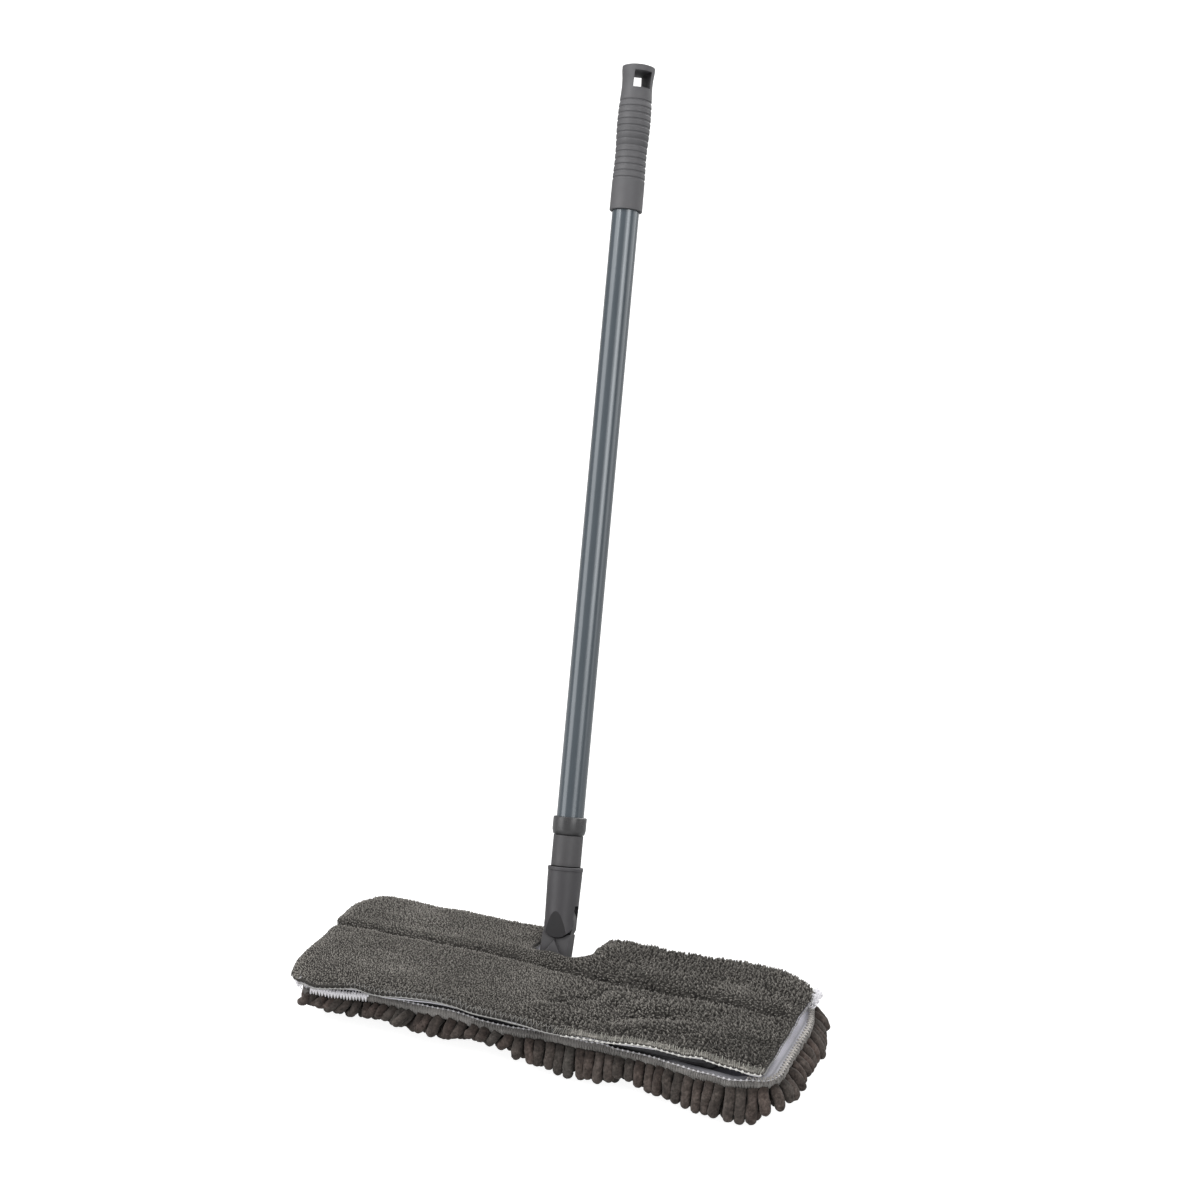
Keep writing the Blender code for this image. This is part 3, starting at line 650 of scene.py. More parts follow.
# soft creases: x and y of the start, x and y of the end, half width, height
CREASES = (
    (28, -42, 60, -22, 3.8, -3.9), (60, -22, 64, -2, 3.6, -3.0), (16, -50, 58, -33, 5.5, 2.6),
    (64, -30, 82, -6, 6.0, 2.4), (84, -42, 136, -16, 4.2, -3.3), (92, -52, 150, -33, 6.0, 2.6),
    (84, -24, 128, -6, 6.0, 2.0), (110, -30, 160, -20, 4.0, -1.8),
    (-150, -58, -60, -62, 9.0, -0.9), (34, 30, 78, 25, 8.0, 3.0), (78, 25, 132, 32, 8.0, 2.0),
    (40, 52, 66, 60, 9.0, 1.8), (-60, 36, -26, 30, 9.0, 1.3), (150, -50, 200, -30, 7.0, 1.3),
    (140, 30, 196, 20, 7.0, 1.5), (110, 48, 170, 44, 6.0, -1.4), (-20, -54, 20, -48, 7.0, -1.2),
    (66, -54, 100, -46, 5.0, -1.4), (-120, -48, -70, -40, 10.0, 0.9),
    (-150, 52, -60, 48, 12.0, 0.8),
)
# humps over the hinge and to the right of the notch: height, then x, y, half width, half depth
HUMPS = ((6.2, 6, 31, 25.0, 12.0), (1.6, 0, 26, 17.0, 9.0), (2.2, 42, 46, 20.0, 14.0))


def groove_y(x):
    return sum(at(GROOVE, x + shift) for shift in (0, -12, 12)) / 3


def fold_y(x):
    """Where the sheet starts to turn down along the hinge side."""
    right = clamp((x - 148) / (TOP_RIGHT - 148))
    left = clamp((-165 - x) / 21)
    y = FOLD_Y + 3.0 * smooth((x - 125) / 28.0) - 24.0 * right**3.2 - 14 * left**2
    return y + 0.9 * noise(x / 23.0, 3.3, 5)


def notch_distance(x, y):
    beside = np.maximum(np.maximum(NOTCH_LEFT - x, x - NOTCH_RIGHT), 0)
    return np.hypot(beside, np.maximum(NOTCH_END - y, 0))


def round_corner(x, y, corner_x, dir_x, corner_y, dir_y, radius):
    """Pulls a square outer corner onto an arc; dir_x and dir_y point into the cloth."""
    a = radius - (x - corner_x) * dir_x
    b = radius - (y - corner_y) * dir_y
    inside = (a > 0) & (b > 0)
    pull = np.where(inside, np.maximum(a, b) / np.maximum(np.hypot(a, b), 1e-6), 1.0)
    return (np.where(inside, corner_x + dir_x * (radius - a * pull), x),
            np.where(inside, corner_y + dir_y * (radius - b * pull), y))


def round_notch(x, y, end, radius, reach):
    """Rounds the notch's two inner corners; the pull fades out over reach."""
    for corner, side in ((NOTCH_LEFT, 1), (NOTCH_RIGHT, -1)):
        # offsets from the arc's centre, inside the notch, towards the corner
        a = (corner + side * radius - x) * side
        b = end + radius - y
        far = np.maximum(a, b)
        inside = (a > 0) & (b > 0) & (far < radius + reach)
        fade = clamp(1 - (far - radius) / reach)
        pull = (1 - fade) + fade * far / np.maximum(np.hypot(a, b), 1e-6)
        x = np.where(inside, corner + side * (radius - a * pull), x)
        y = np.where(inside, end + radius - b * pull, y)
    return x, y


def ease(x, y):
    """Gathers the cloth behind the knuckle forward, so that the pole can lean over it."""
    across = smooth((x + 26) / 11.0) * smooth((27 - x) / 13.0)
    return y - EASE_DEPTH * across * smooth((y - 14) / 14.0) * (1 - smooth((y - 42) / 22.0))


def top_xy(x, y):
    """Plan of the upper sheet: rounded corners, then edge shifts that fade out inwards."""
    for corner, side, radius in ((TOP_LEFT, 1, 8.0), (TOP_RIGHT, -1, 4.0)):
        x, y = round_corner(x, y, corner, side, TOP_FRONT, 1, radius)
    x, y = round_notch(x, y, NOTCH_END, radius=13.0, reach=22.0)
    y = ease(x, y)
    y = y + (at(TOP_FRONT_EDGE, x) - TOP_FRONT) * smooth(1 - (y - TOP_FRONT) / 38.0)
    x = x + clamp((x - 120) / (TOP_RIGHT - 120)) ** 2 * at(TOP_RIGHT_SHIFT, y)
    left = clamp((-x - 120) / (-TOP_LEFT - 120)) ** 2
    x = x + left * (at(TOP_LEFT_SHIFT, y) + 3.0 * bell((y - 20) / 5.0))
    return x, y


def top_z(x, y):
    """Height of the upper sheet's face under the pile."""
    groove = groove_y(x)
    fold = fold_y(x)
    off_groove = y - groove
    # pillowed between the front edge, the groove and the fold
    across = np.where(
        off_groove < 0,
        (y - TOP_FRONT) / np.maximum(groove - TOP_FRONT, 1),
        (fold + 4 - y) / np.maximum(fold + 4 - groove, 1))
    z = 48.9 + 2.4 * np.sqrt(clamp(4 * across * (1 - across))) - 0.4
    # the groove is deeper and wider towards the right
    rightward = smooth((x + 30) / 90.0)
    depth = 3.9 + 1.2 * rightward + 0.9 * noise(x / 17.0, 1.7, 9)
    wander = 0.7 * noise(x / 9.0, 2.2, 10)
    width = 1.9 + 1.1 * rightward
    valley = np.exp(-(np.abs((off_groove + wander) / width) ** 1.5))
    z = z - depth * smooth((TOP_RIGHT - 3 - x) / 14.0) * valley
    # the cloth stands up on either side of the stitching, more so behind it
    z = z + 1.1 * bell((off_groove - 8.0) / 4.5) + 0.5 * bell((off_groove + 7.5) / 4.5)
    for height, *oval in HUMPS:
        z = z + height * mound(x, y, *oval)
    for x0, y0, x1, y1, half_width, height in CREASES:
        dx, dy = float(x1 - x0), float(y1 - y0)
        t = clamp(((x - x0) * dx + (y - y0) * dy) / (dx * dx + dy * dy))
        distance = np.hypot(x - x0 - t * dx, y - y0 - t * dy)
        z = z + height * bell(distance / half_width) * clamp(4 * t * (1 - t) + 0.35)
    # the free edges hang a little
    z = z - 1.7 * np.exp(-(y - TOP_FRONT + 2) / 5.0) - 1.4 * np.exp(-(TOP_RIGHT - x) / 5.0)
    z = z - 3.0 * np.exp(-(x - TOP_LEFT) / 9.0)
    # the front left corner droops, the front right edge is lifted
    z = z - 3.4 * smooth((-136 - x) / 44) * smooth((-34 - y) / 40)
    z = z + 2.2 * smooth((x - 85) / 60) * np.exp(-(y - TOP_FRONT) / 14.0)
    # broad and fine unevenness, and a wave along the front edge
    uneven = 0.4 + 0.4 * smooth((x + 10) / 70.0)
    z = z + 0.9 * noise(x / 31.0, y / 24.0, 21) + uneven * noise(x / 12.0, y / 10.0, 22)
    wave = np.sin(x / 15.0 + 1.5 * noise(x / 40, 0, 3))
    return z + 0.5 * wave * np.exp(-(y - TOP_FRONT) / 16.0)


def place_top(x, run):
    """Point on the sheet's face from x and the distance along the cloth, both before rounding."""
    fold = fold_y(x)
    over = np.maximum(run - fold, 0)
    turn = np.minimum(over / FOLD_RADIUS, math.pi / 2)
    straight = np.maximum(over - FOLD_RADIUS * math.pi / 2, 0)
    x, y = top_xy(x, np.minimum(run, fold))
    z = top_z(x, y) - FOLD_RADIUS * (1 - np.cos(turn)) - straight
    return np.stack([x, y + FOLD_RADIUS * np.sin(turn), z], -1)


def top_normal(x, run):
    along_x = place_top(x + 0.5, run) - place_top(x - 0.5, run)
    along_run = place_top(x, run + 0.5) - place_top(x, run - 0.5)
    return unit(np.cross(along_x, along_run))


def follow_fold(x, run, inset=0.0):
    """Stretches the rows behind the notch's end so that the last one follows the fold line."""
    end = fold_y(x) + FOLD_LENGTH - inset
    share = (run - NOTCH_END) / (RUN_END - inset - NOTCH_END)
    return np.where(run > NOTCH_END, NOTCH_END + share * (end - NOTCH_END), run)


def top_grid(step, inset=0.0, clearance=0.0):
    x, run, keep = notched_grid(
        step,
        (TOP_LEFT + inset, TOP_RIGHT - inset, TOP_FRONT + inset, RUN_END - inset),
        (NOTCH_LEFT - clearance, NOTCH_RIGHT + clearance, NOTCH_END - clearance))
    return x, follow_fold(x, run, inset), keep


# ---------------------------------------------------------------- plush
CLUMP = 3.3  # spacing of the pile's clumps


def coarse(x, run):
    """0 where the pile lies fine and even, 1 where it is brushed into clumps."""
    front = smooth((-44 - run) / 20.0) * smooth((x + 190) / 60.0)
    right = smooth((x + 6) / 62.0) * (0.75 + 0.35 * noise(x / 26, run / 22, 61))
    return np.clip(right + 0.45 * front + 0.12 * noise(x / 18, run / 18, 62), 0.04, 1)


def lumps(x, run):
    """Height of the pile's clumps over the sheet's face."""
    rough = coarse(x, run)
    distance, _, _ = scattered(x, run, CLUMP, seed=5)
    clump = np.clip(1 - (distance / 2.1) ** 2, -0.4, 1)
    fine = (0.22 + 0.2 * rough) * noise(x / 1.6, run / 1.6, 32)
    broad = (0.15 + 0.3 * rough) * noise(x / 6.0, run / 6.0, 33)
    return rough * (1.7 * clump - 0.75) + fine + broad


def trimmed_margin(x, run):
    """1 on the short, paler margin along the front at the right."""
    return np.exp(-(((run - TOP_FRONT) / 4.6) ** 4)) * smooth((x - 45) / 25.0)


def plush_cover():
    x, run, keep = top_grid(1.25)
    face = place_top(x, run)
    normal = top_normal(x, run)
    to_edge = np.minimum.reduce(
        [x - TOP_LEFT, TOP_RIGHT - x, run - TOP_FRONT, notch_distance(x, run)])
    inner = clamp(to_edge / 4.0)
    lump = lumps(x, run)
    margin = trimmed_margin(x, run)
    # h: lighter on the raised clumps as painted light, darker between them as painted shade; the
    # trimmed margin is paler
    height = clamp(0.16 + 0.16 * lump + 0.5 * margin)
    tint = 0.05 * noise(x / 9, run / 9, 77) + 0.45 * margin
    cover = slab_mesh(
        "plush_cover",
        face + normal * (lump * (0.35 + 0.65 * inner))[..., None],
        face - normal * (2.6 + 1.6 * inner)[..., None],
        keep, PLUSH,
        {"h": (height, np.full(x.shape, 0.3)), "tint": (tint, np.zeros(x.shape))})
    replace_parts(cover, "plush_sheet")


def tuft_mesh(base, normal, lean, length, width, tint):
    """Bent three-sided tufts, each a closed body of seven points."""
    rng = np.random.default_rng(12)
    count = len(base)
    side = unit(np.cross(normal, unit(rng.normal(size=(count, 3)))))
    other = np.cross(normal, side)
    lower = unit(normal + 0.45 * lean)
    upper = unit(normal * 0.75 + 1.25 * lean)
    length = length[:, None]
    middle = base + lower * length * 0.55
    verts = np.zeros((count, 7, 3))
    start = (np.arange(count) * 7)[:, None]
    quads, triangles = [], []
    for k in range(3):
        angle = k * math.tau / 3
        offset = (side * math.cos(angle) + other * math.sin(angle)) * width[:, None]
        verts[:, k] = base + offset - normal * 0.5
        verts[:, 3 + k] = middle + offset * 0.72
        after = (k + 1) % 3
        quads.append(start + np.array([[k, after, 3 + after, 3 + k]]))
        triangles.append(start + np.array([[3 + k, 3 + after, 6]]))
    verts[:, 6] = middle + upper * length * 0.55
    triangles.append(start + np.array([[2, 1, 0]]))
    # h: painted shade at each tuft's root, painted light at its tip
    root, tip = 0.22, 1.0
    height = np.tile(np.array([root] * 3 + [(root + tip) / 2] * 3 + [tip]), count)
    make_mesh(
        "plush_tufts", verts.reshape(-1, 3), [np.concatenate(quads), np.concatenate(triangles)],
        PLUSH, {"h": height, "tint": np.repeat(tint, 7)})


def tuft_tint(x, run, rough, groove, margin, rng):
    """Brightness shift of each tuft: scatter, a dark groove, and paler and darker areas."""
    tint = 0.06 * noise(x / 6, run / 6, 45) + rng.normal(0, 0.11, len(x)) * (1 + 1.2 * rough)
    # painted shade: darker in the stitched groove; the pile is also darker where it is coarse
    tint = tint + 0.03 - 0.10 * rough - 0.50 * groove
    # painted light: paler towards the left, both behind and at the front
    tint = tint + 0.12 * smooth((-20 - x) / 60.0) * smooth((run + 20) / 60.0)
    tint = tint + 0.24 * smooth((-55 - x) / 50.0) * (1 - smooth((run + 25) / 35.0))
    tint = tint + 0.30 * mound(x, run, 92, -22, 34.0, 26.0)
    tint = tint + 0.35 * mound(x, run, 2, 31, 22.0, 4.0)
    # painted shade along the front at the right; the trimmed margin is paler
    front_right = smooth((x - 150) / 30.0) * (1 - smooth((run + 40) / 16.0))
    return tint - 0.28 * front_right * smooth((run + 68) / 5.0) + 0.60 * margin


def plush_tufts():
    rng = np.random.default_rng(11)
    step = 1.56
    x, run = np.meshgrid(
        np.arange(TOP_LEFT + 0.8, TOP_RIGHT - 0.3, step),
        np.arange(TOP_FRONT + 0.8, RUN_END - 4, step), indexing="ij")
    x = (x + rng.uniform(-0.5, 0.5, x.shape) * step).ravel()
    run = (run + rng.uniform(-0.5, 0.5, run.shape) * step).ravel()
    run = follow_fold(x, run)
    to_notch = notch_distance(x, run)
    on_sheet = (to_notch > 0.8) & (x > TOP_LEFT + 0.6) & (x < TOP_RIGHT - 0.6)
    on_sheet &= run > TOP_FRONT + 1.0
    x, run, to_notch = x[on_sheet], run[on_sheet], to_notch[on_sheet]
    count = len(x)
    normal = top_normal(x, run)
    rough = coarse(x, run)
    base = place_top(x, run) + normal * (lumps(x, run)[:, None] * 0.95 - 0.1)

    # the tufts follow a drifting lay, and lean to their clump's centre where the pile is coarse
    _, clump_x, clump_y = scattered(x, run, CLUMP, seed=5)
    to_clump = np.stack([clump_x - x, clump_y - run, np.zeros(count)], -1) / 1.6
    lay = math.pi * 1.4 + 1.5 * noise(x / 32, run / 32, 41) + rng.normal(0, 0.5, count)
    lean = np.stack([np.cos(lay), np.sin(lay), np.zeros(count)], -1)
    lean = lean * (0.30 + 0.1 * rough)[:, None] + to_clump * (0.15 + 0.75 * rough)[:, None]
    lean = lean + rng.normal(0, 0.16, (count, 3))
    lean = lean - normal * (lean * normal).sum(-1, keepdims=True)

    # the outermost tufts lean out over the edge
    to_edge = np.minimum.reduce([x - TOP_LEFT, TOP_RIGHT - x, run - TOP_FRONT, to_notch])
    near = clamp(1 - to_edge / 2.5)[:, None]
    out = np.stack([
        np.where(x - TOP_LEFT < 3, -1.0, np.where(TOP_RIGHT - x < 3, 1.0, 0.0)),
        np.where(run - TOP_FRONT < 3, -0.6, 0.0), np.zeros(count)], -1)
    lean = lean * (1 - near) + out * near * 0.7

    # shorter near the edges, in the groove and on the trimmed margin
    groove = bell((run - groove_y(x)) / (1.4 + 0.9 * smooth((x + 30) / 90.0)))
    margin = trimmed_margin(x, run)
    length = 1.6 + 1.35 * rough + 0.25 * noise(x / 5, run / 5, 44)
    length = length * rng.uniform(0.8, 1.2, count)
    length = length * (0.45 + 0.55 * clamp(np.minimum(to_edge, run - TOP_FRONT) / 5.5))
    length = length * (1 - 0.5 * groove) * (1 - 0.72 * margin)
    width = rng.uniform(0.72, 1.0, count) * (1 - 0.1 * rough)
    tint = tuft_tint(x, run, rough, groove, margin, rng)
    tuft_mesh(base, normal, lean, length, width, tint)


plush_cover()
plush_tufts()

# ---------------------------------------------------------------- lower sheet and the linings
LOW_LEFT, LOW_RIGHT, LOW_FRONT, LOW_REAR = -178.0, 220.5, -62.0, 79.0
LOW_NOTCH_END = NOTCH_END - 3
LOW_FLAT = 28.2  # height of the upper face away from the edges
# x, y of the front edge
LOW_FRONT_EDGE = (
    (-180, -62), (-160, -62.5), (-140, -60.5), (-117, -58.5), (-92, -58.5), (-58, -59.5),
    (-35, -59), (-20, -61), (13, -61.3), (30, -61), (45, -59.5), (80, -60.5), (111, -61.3),
    (126, -63.3), (141, -66.7), (157, -69.6), (168, -71.4), (187, -74.6), (196, -73.2),
    (206, -69.5), (222, -64),
)
# x, height of the turned-up rim
LOW_RIM_HEIGHT = (
    (-180, 36.5), (-162, 35.8), (-140, 35.2), (-118, 36.4), (-100, 37.4), (-45, 37.2),
    (-20, 36.0), (160, 36.0), (184, 38.3), (204, 38.2), (222, 36.8),
)
# x, how far in from the front edge the sheet is turned up, and x, exponent of that curve
LOW_RUN = ((-180, 8), (60, 8), (110, 10), (150, 14), (187, 19), (222, 19))
LOW_POWER = ((0, 2.4), (120, 1.9), (180, 1.5))
# y, shift in x of the right edge
LOW_RIGHT_SHIFT = (
    (-70, 0.5), (-50, 1.2), (-14, 0.0), (9, 0.6), (22, 0.2), (38, -3.2), (50, -6.8),
    (60, -10.0), (80, -12.0),
)
# corner x and y with the directions into the cloth, and the radius
LOW_CORNERS = (
    (LOW_LEFT, 1, LOW_FRONT, 1, 15.0), (LOW_RIGHT, -1, LOW_FRONT, 1, 14.0),
    (LOW_LEFT, 1, LOW_REAR, -1, 14.0), (LOW_RIGHT, -1, LOW_REAR, -1, 18.0),
)


def low_xy(x, y):
    """Plan of the lower sheet from its rectangle: rounded corners, then wandering edges."""
    for corner in LOW_CORNERS:
        x, y = round_corner(x, y, *corner)
    x, y = round_notch(x, y, LOW_NOTCH_END, radius=12.0, reach=18.0)
    y = ease(x, y)
    y = y + (at(LOW_FRONT_EDGE, x) - LOW_FRONT) * smooth(1 - (y - LOW_FRONT) / 26.0)
    x = x + clamp((x - 172) / (LOW_RIGHT - 172)) ** 2 * at(LOW_RIGHT_SHIFT, y)
    return x, y


def low_z(x, y):
    """Height of the lower sheet's upper face: flat in the middle, turned up at the edges."""
    inward = y - at(LOW_FRONT_EDGE, x)
    front = clamp(1 - inward / at(LOW_RUN, x)) ** at(LOW_POWER, x)
    rim = at(LOW_RIM_HEIGHT, x) + 0.5 * np.sin(x / 10.5 + 2 * noise(x / 50, 0, 13))
    rim = rim + 0.3 * noise(x / 7.0, 1, 14)
    right = clamp(1 - (LOW_RIGHT - x) / 32.0) ** 1.35 * (1 + 0.10 * np.sin(y / 9.0))
    left = clamp(1 - (x - LOW_LEFT) / 10.0) ** 1.8
    rear = clamp(1 - (LOW_REAR - y) / 14.0) ** 1.6
    rise = 1 - (1 - front) * (1 - clamp(right)) * (1 - 0.85 * left) * (1 - 0.7 * rear)
    climb = rim + 0.9 * right * clamp((y + 30) / 60) - LOW_FLAT
    return LOW_FLAT + climb * rise + 0.3 * noise(x / 26, y / 22, 15)


def painted_shadow_mask(x, y, inward, to_rim):
    """The attribute dim: along the front, where the two sheets nearly touch, and at the right."""
    # painted shadow along the front, cast by the upper sheet's edge; from x 95 on it lightens
    # towards the rim
    front = (1 - smooth((y + 36) / 16.0)) * (1 - smooth((x - 203) / 11.0))
    front = front * smooth((x + 105) / 12.0)
    least = at(((95, 1.0), (130, 0.60)), x)
    front = front * (least + (1 - least) * smooth((inward - 7.5) / 8.0))
    # at the right, a painted shadow line about 7 mm in from the rim and a darker strip on the last 5
    # mm
    right = 0.50 * bell((to_rim - 7.0) / 1.8) + 0.35 * (to_rim < 5.0)
    return np.maximum(front, right * smooth((x - 100) / 20.0))


def low_sheet(name, inset, lift, thick, rough, material, clearance=0.0, lining=False):
    """Slab on the lower sheet's surface, its rim rounded and its face roughened."""
    box = (LOW_LEFT + inset, LOW_RIGHT - inset, LOW_FRONT + inset, LOW_REAR - inset)
    notch = (
        NOTCH_LEFT - inset - clearance, NOTCH_RIGHT + inset + clearance,
        LOW_NOTCH_END - inset - clearance)
    grid_x, grid_y, keep = notched_grid(2.0, box, notch)
    x, y = low_xy(grid_x, grid_y)
    z = low_z(x, y) + lift
    attrs = None
    if lining:
        # stands up in a soft fold against the plate's front edge
        inward = y - at(LOW_FRONT_EDGE, x)
        fold = smooth((x - 92) / 25.0) * (1 - smooth((x - 194) / 12.0))
        z = z + 4.4 * bell((inward - 11.0) / 3.6) * fold
        # dim holds the painted shadow on the lower lining
        dim = painted_shadow_mask(x, y, inward, LOW_RIGHT - grid_x)
        attrs = {"dim": (dim, dim)}
    to_edge = np.minimum.reduce(
        [grid_x - box[0], box[1] - grid_x, grid_y - box[2], box[3] - grid_y])
    thinned = (1 - np.sqrt(clamp(to_edge / 1.6))) * thick * 0.35
    z = z + rough * noise(x / 2.0, y / 2.0, 91)
    top = np.stack([x, y, z - thinned], -1)
    bottom = np.stack([x, y, z - thick + thinned], -1)
    return slab_mesh(name, top, bottom, keep, material, attrs)


def upper_lining():
    x, run, keep = top_grid(2.6, inset=1.6, clearance=8.0)
    face = place_top(x, run)
    normal = top_normal(x, run)
    top, bottom = face - normal * 4.5, face - normal * 5.3
    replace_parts(slab_mesh("lining_upper", top, bottom, keep, LINING), "upper_lining")


base_cloth = low_sheet("chenille_base", inset=0.6, lift=0.0, thick=2.2, rough=0.12,
                       material=BASE)
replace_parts(base_cloth, "lower_sheet")
lining_low = low_sheet("lining_lower", inset=1.2, lift=1.0, thick=0.9, rough=0.1,
                       material=LINING_LOW, clearance=8.0, lining=True)
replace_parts(lining_low, "lower_lining")
upper_lining()

# ---------------------------------------------------------------- overlock on the upper sheet
PITCH = 4.3  # stitch length of the overlock


def top_edge(which, step):
    """Matching paths just off a free edge of the upper sheet and inside it on its face."""
    parts = {  # x, run, and the direction into the cloth
        "front": ((np.arange(TOP_LEFT + 10, TOP_RIGHT - 1, step), TOP_FRONT, 0, 1),),
        "left": ((TOP_LEFT, np.arange(fold_y(TOP_LEFT) - 2, TOP_FRONT + 3, -step), 1, 0),),
        "right": ((TOP_RIGHT, np.arange(TOP_FRONT + 1, fold_y(TOP_RIGHT) + 4, step), -1, 0),),
        "notch": (
            (NOTCH_LEFT, np.arange(72.0, NOTCH_END, -step), -1, 0),
            (np.arange(NOTCH_LEFT, NOTCH_RIGHT, step), NOTCH_END, 0, -1),
            (NOTCH_RIGHT, np.arange(NOTCH_END, 72.0, step), 1, 0)),
    }
    x, run, in_x, in_run = legs(*parts[which])

    def inset(distance):
        return place_top(x + in_x * distance, run + in_run * distance)

    return inset(-0.5) - UP * 1.2, inset(3.7) + UP * 1.3


def beaded(path, thin, thick, pitch, seed, power=2.0):
    """A cord that swells at every stitch."""
    path = resample(path, pitch / 8)
    rng = np.random.default_rng(seed)
    stitch = np.arange(len(path)) / 8.0
    phase = 0.16 * noise(stitch / 3.0, 0.5, seed)
    swell = np.maximum(0, np.cos((stitch + phase) * math.tau)) ** power
    count = int(stitch[-1]) + 3
    size = np.interp(stitch, np.arange(count), rng.uniform(0.75, 1.15, count))
    path = path + UP * 0.25 * swell[:, None]
    return tube_path(path, thin + (thick - thin) * swell * size, 6)


def over_edge(which, seed):
    """Thread from the cord up and in, and back out: two strokes per stitch."""
    edge, inner = top_edge(which, PITCH / 4)
    count = (len(edge) // 4) * 4
    edge, inner = edge[:count], inner[:count]
    phase = (np.arange(count) % 4)[:, None]
    between = (edge + inner) / 2 + UP * 1.15
    points = np.where(phase == 0, inner, np.where(phase == 2, edge, between))
    points = points + np.random.default_rng(seed).normal(0, 0.16, points.shape)
    if which == "front":
        # buried under the longer pile at the right, and sunk at the left end
        x = points[:, 0]
        points[:, 2] -= 1.7 * smooth((x - 40) / 30.0) + 1.5 * smooth((-122 - x) / 22.0) - 0.1
    else:
        points[:, 2] -= 1.9
    return tube_path(points, 0.20, 5)


def selvage():
    """Thick zigzag on the right part of the front edge."""
    edge, inner = top_edge("front", 0.85)
    right = edge[:, 0] > 46
    edge, inner = edge[right], inner[right]
    rng = np.random.default_rng(207)
    swing = rng.uniform(0.55, 1.0, len(edge))[:, None]
    outer = (np.arange(len(edge)) % 2 == 0)[:, None]
    points = np.where(outer, edge + UP * 0.6, edge + (inner - edge) * swing + UP * 0.9)
    points = points + rng.normal(0, 0.20, points.shape)
    return tube_path(points, 0.46, 5)


def upper_overlock():
    # the notch's threads use the dark grey thread as painted shade round the knuckle
    merge_tubes(
        "overlock_upper", [over_edge("front", 200), over_edge("notch", 203)], THREAD["grey"])
    merge_tubes("overlock_upper_selvage", [selvage()], THREAD["olive"])
    front, left, right, notch = (
        top_edge(which, PITCH / 4)[0] for which in ("front", "left", "right", "notch"))
    front = resample(front, 1.0)
    pale = front[:, 0] > 52
    pale_path = front[pale] + np.array([0, -0.5, -0.9])
    merge_tubes(
        "overlock_upper_cord", [beaded(pale_path, 0.30, 1.15, 4.7, 301, power=1.2)],
        THREAD["cord_white"])
    merge_tubes("overlock_upper_cord_grey", [
        beaded(front[~pale] + np.array([0, -0.3, -0.6]), 0.42, 0.68, PITCH, 302),
        beaded(left, 0.35, 0.6, PITCH, 303),
        beaded(right - UP * 0.8, 0.4, 0.75, PITCH, 304),
        beaded(notch - UP * 1.3, 0.3, 0.5, PITCH, 305),
    ], THREAD["grey"])


upper_overlock()


# ---------------------------------------------------------------- hem and overlock below
def low_path(x, y, step):
    x, y = low_xy(x, y)
    return resample(np.stack([x, y, low_z(x, y)], -1), step)


# the lower rim from the hinge side round the left end, the front and the right end, and back
# along the hinge side to the notch
RIM = low_path(*legs(
    (LOW_LEFT, np.arange(62.0, LOW_FRONT, -1.0)),
    (np.arange(LOW_LEFT, LOW_RIGHT, 1.0), LOW_FRONT),
    (LOW_RIGHT, np.arange(LOW_FRONT, LOW_REAR - 2, 1.0)),
    (np.arange(LOW_RIGHT, NOTCH_RIGHT + 12, -1.0), LOW_REAR - 2),
), 1.0)
# x, half height of the hem
HEM_HALF_HEIGHT = (
    (-178, 3.2), (-118, 3.4), (-95, 4.7), (-20, 4.6), (60, 4.1), (130, 4.0), (222, 3.6))
HEM_HALF_WIDTH = 1.9
HEM_SIDES = 16


def rolled_hem():
    """The bound hem: an upright oval roll with gathers, hung from the rim."""
    tall = at(HEM_HALF_HEIGHT, RIM[:, 0])
    centre = offset_path(RIM, -HEM_HALF_WIDTH, 0.45 - tall)
    out = outward(RIM)
    angle = (np.arange(HEM_SIDES) * math.tau / HEM_SIDES)[None, :, None]
    station = np.arange(len(RIM))
    gather = 1 + 0.09 * noise(station / 2.2, 0.3, 401) + 0.10 * noise(station / 7.0, 0.3, 402)
    ring = out[:, None] * (np.cos(angle) * HEM_HALF_WIDTH) + UP * (
        np.sin(angle) * tall[:, None, None])
    verts = (centre[:, None] + ring * gather[:, None, None]).reshape(-1, 3)
    x, y, z = verts.T
    fuzz = 0.22 * noise(x / 1.1, y / 1.1, 403, z / 1.6)
    verts = verts + np.repeat(out, HEM_SIDES, axis=0) * fuzz[:, None]
    quads, triangles = tube_faces(len(RIM), HEM_SIDES)
    # the rings run the other way round than a tube's, so the faces are turned over
    faces = [quads[:, [0, 3, 2, 1]], triangles[:, [0, 2, 1]]]
    verts = np.concatenate([verts, centre[:1], centre[-1:]])
    make_mesh("rolled_hem", verts, faces, HEM)


def zigzag(path, pitch, out, up, scatter, radius, sides, rng):
    """Thread with four points per cycle; out and up are their offsets from the path."""
    path = resample(path, pitch / 8)
    count = (len(path) // 4) * 4
    phase = np.arange(len(path)) % 4
    points = offset_path(path, np.array(out)[phase], np.array(up)[phase])[:count]
    return tube_path(points + rng.normal(0, scatter, (count, 3)), radius, sides)


